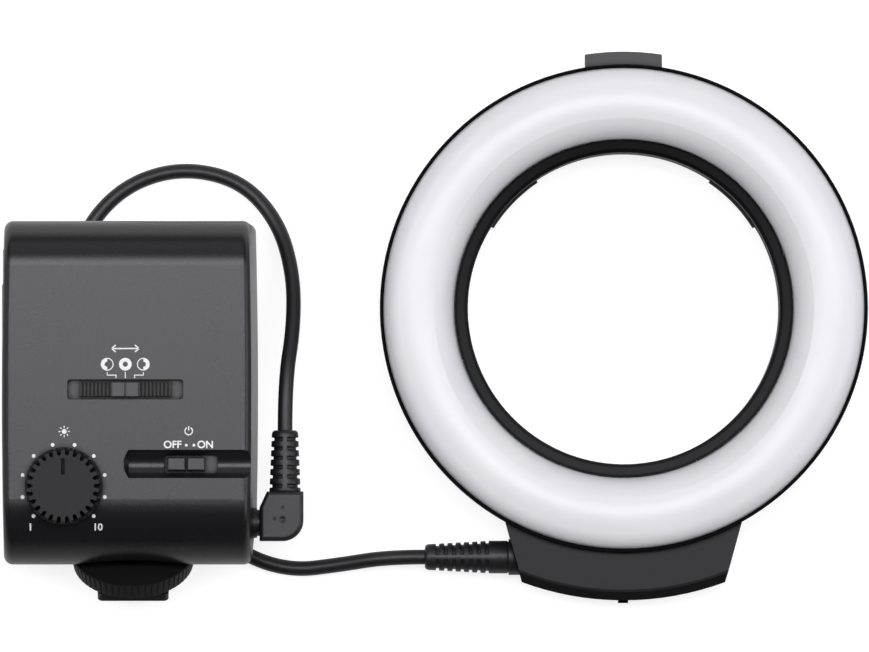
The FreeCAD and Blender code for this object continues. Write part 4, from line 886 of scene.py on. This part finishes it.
# %% Grow the knob
knob_low, knob_middle, _ = box_of("brightness_knob")
steps = [angle for angle, _ in FLUTE_OUTLINE]
steps += [FLUTE_ANGLE - angle for angle in steps[-2:0:-1]]
turns = [math.radians(flute * 360 / KNOB_FLUTES + step)
         for flute in range(KNOB_FLUTES) for step in steps]
bm = bmesh.new()
roof = [bm.verts.new(cylinder_place(turn, BORE_RADIUS, BORE_DEPTH)) for turn in turns]
ring = [bm.edges.new(pair) for pair in zip(roof, roof[1:] + roof[:1])]
bm.faces.new(roof)
for height, outer, shrink, fluted in KNOB_STATIONS:
    grown = bmesh.ops.extrude_edge_only(bm, edges=ring)["geom"]
    ring = only(BMEdge, grown)
    for vert in only(BMVert, grown):
        angle = math.atan2(vert.co.y, vert.co.x)
        radius = flute_radius(math.degrees(angle), outer, shrink) if fluted else outer
        vert.co = cylinder_place(angle, radius, height)
top = bmesh.ops.contextual_create(bm, geom=ring)["faces"]
for across, along, normal in ((-GROOVE_WIDTH / 2, 0, (1, 0, 0)), (GROOVE_WIDTH / 2, 0, (1, 0, 0)),
                              (0, GROOVE_START, (0, 1, 0)), (0, GROOVE_END, (0, 1, 0))):
    part = {item for face in top for item in (face, *face.edges, *face.verts)}
    cut = bmesh.ops.bisect_plane(bm, geom=list(part), dist=CUT_TOLERANCE, plane_no=normal,
                                 plane_co=(across * MM, along * MM, 0))["geom"]
    top = only(BMFace, cut)
groove_middle = Vector((0, (GROOVE_START + GROOVE_END) / 2, KNOB_HEIGHT)) * MM
groove = min(top, key=lambda face: (face.calc_center_median() - groove_middle).length)
sunk = bmesh.ops.extrude_discrete_faces(bm, faces=[groove])["faces"]
bmesh.ops.translate(bm, verts=sunk[0].verts, vec=(0, 0, -GROOVE_DEPTH * MM))
bmesh.ops.recalc_face_normals(bm, faces=bm.faces)
move(bm, (knob_middle.x, knob_middle.y, knob_low.z))
fluted_knob = add_piece("fluted_knob", bm, knob_finish, "brightness_knob",
                        angle=35)
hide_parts("brightness_knob")

# %% [markdown]
# ## Print on the panel
#
# The panel carries white pad print: ten dots round the knob, signs over the switches and ON and
# OFF. A decal texture would need an image, and a painted mask in the shader would blur. Printed
# ink is a thin layer, so each sign is a closed sheet sunk a little into the face and standing
# 0.03 mm out of it. The front of the box is round near its foot, so the height of every corner is
# read from the face's own curve, and the shapes there are first cut into narrow strips so that
# they can bend. Signs are placed by the pixel where the picture has them.

# %% Lay flat shapes on the panel
PANEL_ROUND = 17.0 * MM
INK_STAND = 0.03 * MM
INK_ROOT = 0.04 * MM
STRIP_WIDTH = 0.35 * MM
panel_low, panel_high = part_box("box_front_shell")
panel_height = panel_high.z
round_start = panel_low.y + PANEL_ROUND
panel_pixel = (through_pixel(1, 0, panel_height) - through_pixel(0, 0, panel_height)).x


def panel_surface(y):
    off = max(0.0, round_start - y)
    return panel_height - PANEL_ROUND + math.sqrt(PANEL_ROUND ** 2 - off ** 2)


def on_panel(across, down):
    """A point over the panel by its pixel, corrected once for the height of the round front."""
    first = through_pixel(across, down, panel_height)
    return through_pixel(across, down, panel_surface(first.y))


def add_dot(bm, across, down, radius):
    place = on_panel(across, down)
    bmesh.ops.create_circle(bm, cap_ends=True, radius=radius * panel_pixel, segments=20,
                            matrix=Matrix.Translation((place.x, place.y, 0)))


def add_band(bm, across, down, inner, outer, start, sweep):
    """A bent band round a pixel, from an angle in degrees that counts up against the clock."""
    place = on_panel(across, down)
    first = math.radians(start)
    verts = [bm.verts.new((place.x + r * panel_pixel * math.cos(first),
                           place.y + r * panel_pixel * math.sin(first), 0)) for r in (inner, outer)]
    edge = bm.edges.new(verts)
    full = sweep >= 360
    bmesh.ops.spin(bm, geom=verts + [edge], cent=(place.x, place.y, 0), axis=(0, 0, 1),
                   angle=math.radians(sweep), steps=max(6, round(sweep / 12)), use_merge=full)


def add_bar(bm, start, end, width):
    """A straight bar between two pixels."""
    first = on_panel(*start)
    last = on_panel(*end)
    run = last - first
    run.z = 0
    turn = Matrix.Rotation(math.atan2(run.y, run.x), 4, "Z")
    stretch = Matrix.Diagonal((run.length, width * panel_pixel, 1, 1))
    middle = Matrix.Translation(((first.x + last.x) / 2, (first.y + last.y) / 2, 0))
    bmesh.ops.create_grid(bm, x_segments=1, y_segments=1, size=0.5, matrix=middle @ turn @ stretch)


def add_letters(bm, words, across, down, height):
    """Letters of a given height in pixels, centred on a pixel."""
    data = bpy.data.curves.new("letters", "FONT")
    data.body = words
    data.offset = 0.022
    holder = bpy.data.objects.new("letters", data)
    before = len(bm.verts)
    flat = bpy.data.meshes.new_from_object(holder)
    bm.from_mesh(flat)
    bpy.data.objects.remove(holder)
    bpy.data.meshes.remove(flat)
    added = bm.verts[before:]
    low = Vector((min(v.co.x for v in added), min(v.co.y for v in added), 0))
    high = Vector((max(v.co.x for v in added), max(v.co.y for v in added), 0))
    factor = height * panel_pixel / (high.y - low.y)
    place = on_panel(across, down)
    place.z = 0
    for vert in added:
        vert.co = place + (vert.co - (low + high) / 2) * factor


def print_on_panel(name, bm):
    """Thicken the flat shapes, lay them on the face and make them a piece."""
    cut = min(vert.co.y for vert in bm.verts)
    while cut < round_start:
        bmesh.ops.bisect_plane(bm, geom=bm.verts[:] + bm.edges[:] + bm.faces[:],
                               dist=CUT_TOLERANCE, plane_co=(0, cut, 0), plane_no=(0, 1, 0))
        cut += STRIP_WIDTH
    grown = bmesh.ops.extrude_face_region(bm, geom=bm.faces[:])["geom"]
    upper = set(only(BMVert, grown))
    for vert in bm.verts:
        vert.co.z = panel_surface(vert.co.y) + (INK_STAND if vert in upper else -INK_ROOT)
    bmesh.ops.recalc_face_normals(bm, faces=bm.faces)
    add_piece(name, bm, ink_finish, "root", angle=30)


print("one pixel on the panel is", round(panel_pixel / MM, 4), "mm")

# %% A finish for printed ink
def pad_print():
    made, tree, shader, place = blank_material("white_print")
    thin = spread(tree, noise(tree, place, 0.5 * MM, 3.0), 0.3, 0.55, 0.0, 1.0)
    paint(tree, shader, blend_colours(tree, thin, grey(0.8), grey(0.93)))
    fine = noise(tree, place, 0.2 * MM)
    roughen(tree, shader, fine, 0.45, 0.6)
    emboss(tree, shader, fine, 0.003 * MM)
    return made


ink_finish = pad_print()
print("ink made")

# %% The dial round the knob
DIAL_PIXEL = (63.7, 486.0)
DIAL_RADIUS = 42.5
DOT_RADIUS = 1.9
DOTS = 10
NUMBERS_DOWN = 527.0
NUMBERS_HEIGHT = 7.4
SUN_PIXEL = (64.2, 431.5)
SUN_RAYS = 8


def around(centre, radius, turn):
    """The pixel at a distance from another one, turned clockwise from straight up."""
    return (centre[0] + radius * math.sin(turn), centre[1] - radius * math.cos(turn))


bm = bmesh.new()
for step in range(DOTS):
    add_dot(bm, *around(DIAL_PIXEL, DIAL_RADIUS, math.radians(-135 + 30 * step)), DOT_RADIUS)
print_on_panel("dial_dots", bm)

bm = bmesh.new()
add_letters(bm, "1", 30.4, NUMBERS_DOWN, NUMBERS_HEIGHT)
add_letters(bm, "10", 98.6, NUMBERS_DOWN, NUMBERS_HEIGHT)
print_on_panel("dial_numbers", bm)

bm = bmesh.new()
add_dot(bm, *SUN_PIXEL, 2.5)
for step in range(SUN_RAYS):
    turn = math.tau * step / SUN_RAYS
    add_bar(bm, around(SUN_PIXEL, 3.7, turn), around(SUN_PIXEL, 5.6, turn), 1.0)
print_on_panel("dial_sun", bm)

# %% [markdown]
# ## Signs for the two switches
#
# The power switch gets the usual broken circle with a stroke, and OFF and ON with two dots
# between them. The other switch picks which side of the ring shines. Three small rings under a
# double arrow say so, with the lit half drawn thick, and lines lead to the slider's three places.

# %% Print the power switch's signs
POWER_ACROSS = 188.7
WORDS_DOWN = 444.4
WORDS_HEIGHT = 7.6
bm = bmesh.new()
add_band(bm, POWER_ACROSS, 431.0, 3.2, 4.4, 120, 300)
add_bar(bm, (POWER_ACROSS, 426.2), (POWER_ACROSS, 430.4), 1.2)
add_letters(bm, "OFF", 172.6, WORDS_DOWN, WORDS_HEIGHT)
add_letters(bm, "ON", 205.2, WORDS_DOWN, WORDS_HEIGHT)
add_dot(bm, 186.3, 445.2, 1.4)
add_dot(bm, 193.9, 445.2, 1.4)
print_on_panel("power_print", bm)

# %% Print the position slider's signs
SIGN_DOWN = 364.2
SIGN_OUTER = 6.4
THICK_INNER = 2.6
THIN_INNER = 5.4
LEFT_SIGN, MIDDLE_SIGN, RIGHT_SIGN = 107.2, 125.3, 143.3
LINE_WIDTH = 1.0
ARROW_WIDTH = 1.3
HALF_LINES = (
    ((18.1, 372.3), (18.1, 375.1), LINE_WIDTH), ((18.6, 375.1), (8.8, 375.1), LINE_WIDTH),
    ((9.3, 375.6), (9.3, 378.0), LINE_WIDTH), ((0.0, 348.5), (13.0, 348.5), ARROW_WIDTH),
    ((13.4, 348.2), (9.6, 345.0), ARROW_WIDTH), ((13.4, 348.8), (9.6, 352.0), ARROW_WIDTH),
)
bm = bmesh.new()
add_band(bm, LEFT_SIGN, SIGN_DOWN, THICK_INNER, SIGN_OUTER, 90, 180)
add_band(bm, LEFT_SIGN, SIGN_DOWN, THIN_INNER, SIGN_OUTER, 270, 180)
add_band(bm, MIDDLE_SIGN, SIGN_DOWN, THICK_INNER, SIGN_OUTER, 0, 360)
add_band(bm, RIGHT_SIGN, SIGN_DOWN, THIN_INNER, SIGN_OUTER, 90, 180)
add_band(bm, RIGHT_SIGN, SIGN_DOWN, THICK_INNER, SIGN_OUTER, 270, 180)
print_on_panel("side_signs", bm)

bm = bmesh.new()
for side in (-1, 1):
    for (first, top), (last, bottom), width in HALF_LINES:
        add_bar(bm, (MIDDLE_SIGN + first * side, top), (MIDDLE_SIGN + last * side, bottom), width)
add_bar(bm, (MIDDLE_SIGN, 372.0), (MIDDLE_SIGN, 378.0), LINE_WIDTH)
print_on_panel("side_lines", bm)

# %% [markdown]
# ## Small marks of the moulds
#
# The plug's flat face shows a gate mark with a raised rim and two ejector dimples. On the battery
# door a row of rounded bars gives the thumb a hold. They are grown with the same stations as the
# sleeves, since each is a small turned form.

# %% The marks on the plug
MARKS = ((282.5, 519.2, 1.0), (274.7, 518.5, 0.5), (282.8, 507.5, 0.5))
DISH = [(-0.05, 1.0, False), (0.06, 1.0, False), (0.14, 0.9, False), (0.14, 0.75, False),
        (0.03, 0.6, False)]


def move_into(bm, part):
    """Add a finished form to a larger mesh."""
    spare = bpy.data.meshes.new("spare")
    part.to_mesh(spare)
    part.free()
    bm.from_mesh(spare)
    bpy.data.meshes.remove(spare)


plug_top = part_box("plug_body")[1].z
bm = bmesh.new()
for across, down, size in MARKS:
    mark, _ = grown_form(DISH, 24)
    bmesh.ops.scale(mark, verts=mark.verts, vec=(size, size, 1))
    move(mark, through_pixel(across, down, plug_top))
    move_into(bm, mark)
plug_marks = add_piece("plug_marks", bm, rubber_finish, "root")

# %% The hold on the battery door
GRIP_BARS = 6
GRIP_PITCH = 1.5
GRIP_START = 4.0
GRIP_LENGTH = 12.0
GRIP_RADIUS = 0.35
GRIP_SUNK = 0.25 * MM
BOX_DRAFT = 1.4 * MM
door_low, door_middle, _ = box_of("battery_door")
rear_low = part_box("box_rear_shell")[0]
box_depth = panel_height - rear_low.z
half_bar = [(0.0, 0.1), (0.1, 0.25), (GRIP_RADIUS, GRIP_RADIUS)]
bar = [(along, radius, False) for along, radius in half_bar]
bar += [(GRIP_LENGTH - along, radius, False) for along, radius in half_bar[::-1]]
bm = bmesh.new()
for index in range(GRIP_BARS):
    height = door_low.z + (GRIP_START + GRIP_PITCH * index) * MM
    inwards = BOX_DRAFT * (height - rear_low.z) / box_depth + GRIP_SUNK
    piece, _ = grown_form(bar, 12)
    bmesh.ops.rotate(piece, verts=piece.verts, cent=(0, 0, 0), matrix=TO_Y)
    move(piece, (rear_low.x + inwards, door_middle.y - GRIP_LENGTH / 2 * MM, height))
    move_into(bm, piece)
add_piece("door_grip", bm, box_finish, "battery_door")

# %% [markdown]
# ## The return spring
#
# The imported model has a plain sleeve for the spring behind the release button. A real one is wire
# wound at an even pitch, with its last turns lying flat against the button and the wall. Spinning
# a small circle with a step along the axis winds it, and three runs with different steps make
# the closed ends.

# %% Wind the spring
WIRE_RADIUS = 0.25
STEPS_PER_TURN = 20
OPEN_TURNS = 11
CLOSED_PITCH = 2 * WIRE_RADIUS + 0.02
spring_low, spring_middle, spring_high = box_of("button_spring")
spring_length = (spring_high.y - spring_low.y) / MM
coil_radius = (spring_high.x - spring_middle.x) / MM - WIRE_RADIUS
open_pitch = (spring_length - 2 * WIRE_RADIUS - 2 * CLOSED_PITCH) / OPEN_TURNS
bm = bmesh.new()
bmesh.ops.create_circle(bm, cap_ends=True, radius=WIRE_RADIUS * MM, segments=8)
move(bm, (coil_radius * MM, 0, 0))
front = bm.verts[:] + bm.edges[:] + bm.faces[:]
for turns, pitch in ((1, CLOSED_PITCH), (OPEN_TURNS, open_pitch), (1, CLOSED_PITCH)):
    wound = bmesh.ops.spin(bm, geom=front, cent=(0, 0, 0), axis=(0, 1, 0),
                           dvec=(0, pitch / STEPS_PER_TURN * MM, 0), angle=math.tau * turns,
                           steps=turns * STEPS_PER_TURN)
    front = wound["geom_last"]
bmesh.ops.recalc_face_normals(bm, faces=bm.faces)
move(bm, (0, spring_low.y + WIRE_RADIUS * MM, spring_middle.z))
button_coil = add_piece("button_coil", bm, steel_finish, "root")
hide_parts("button_spring")
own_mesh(button_coil)
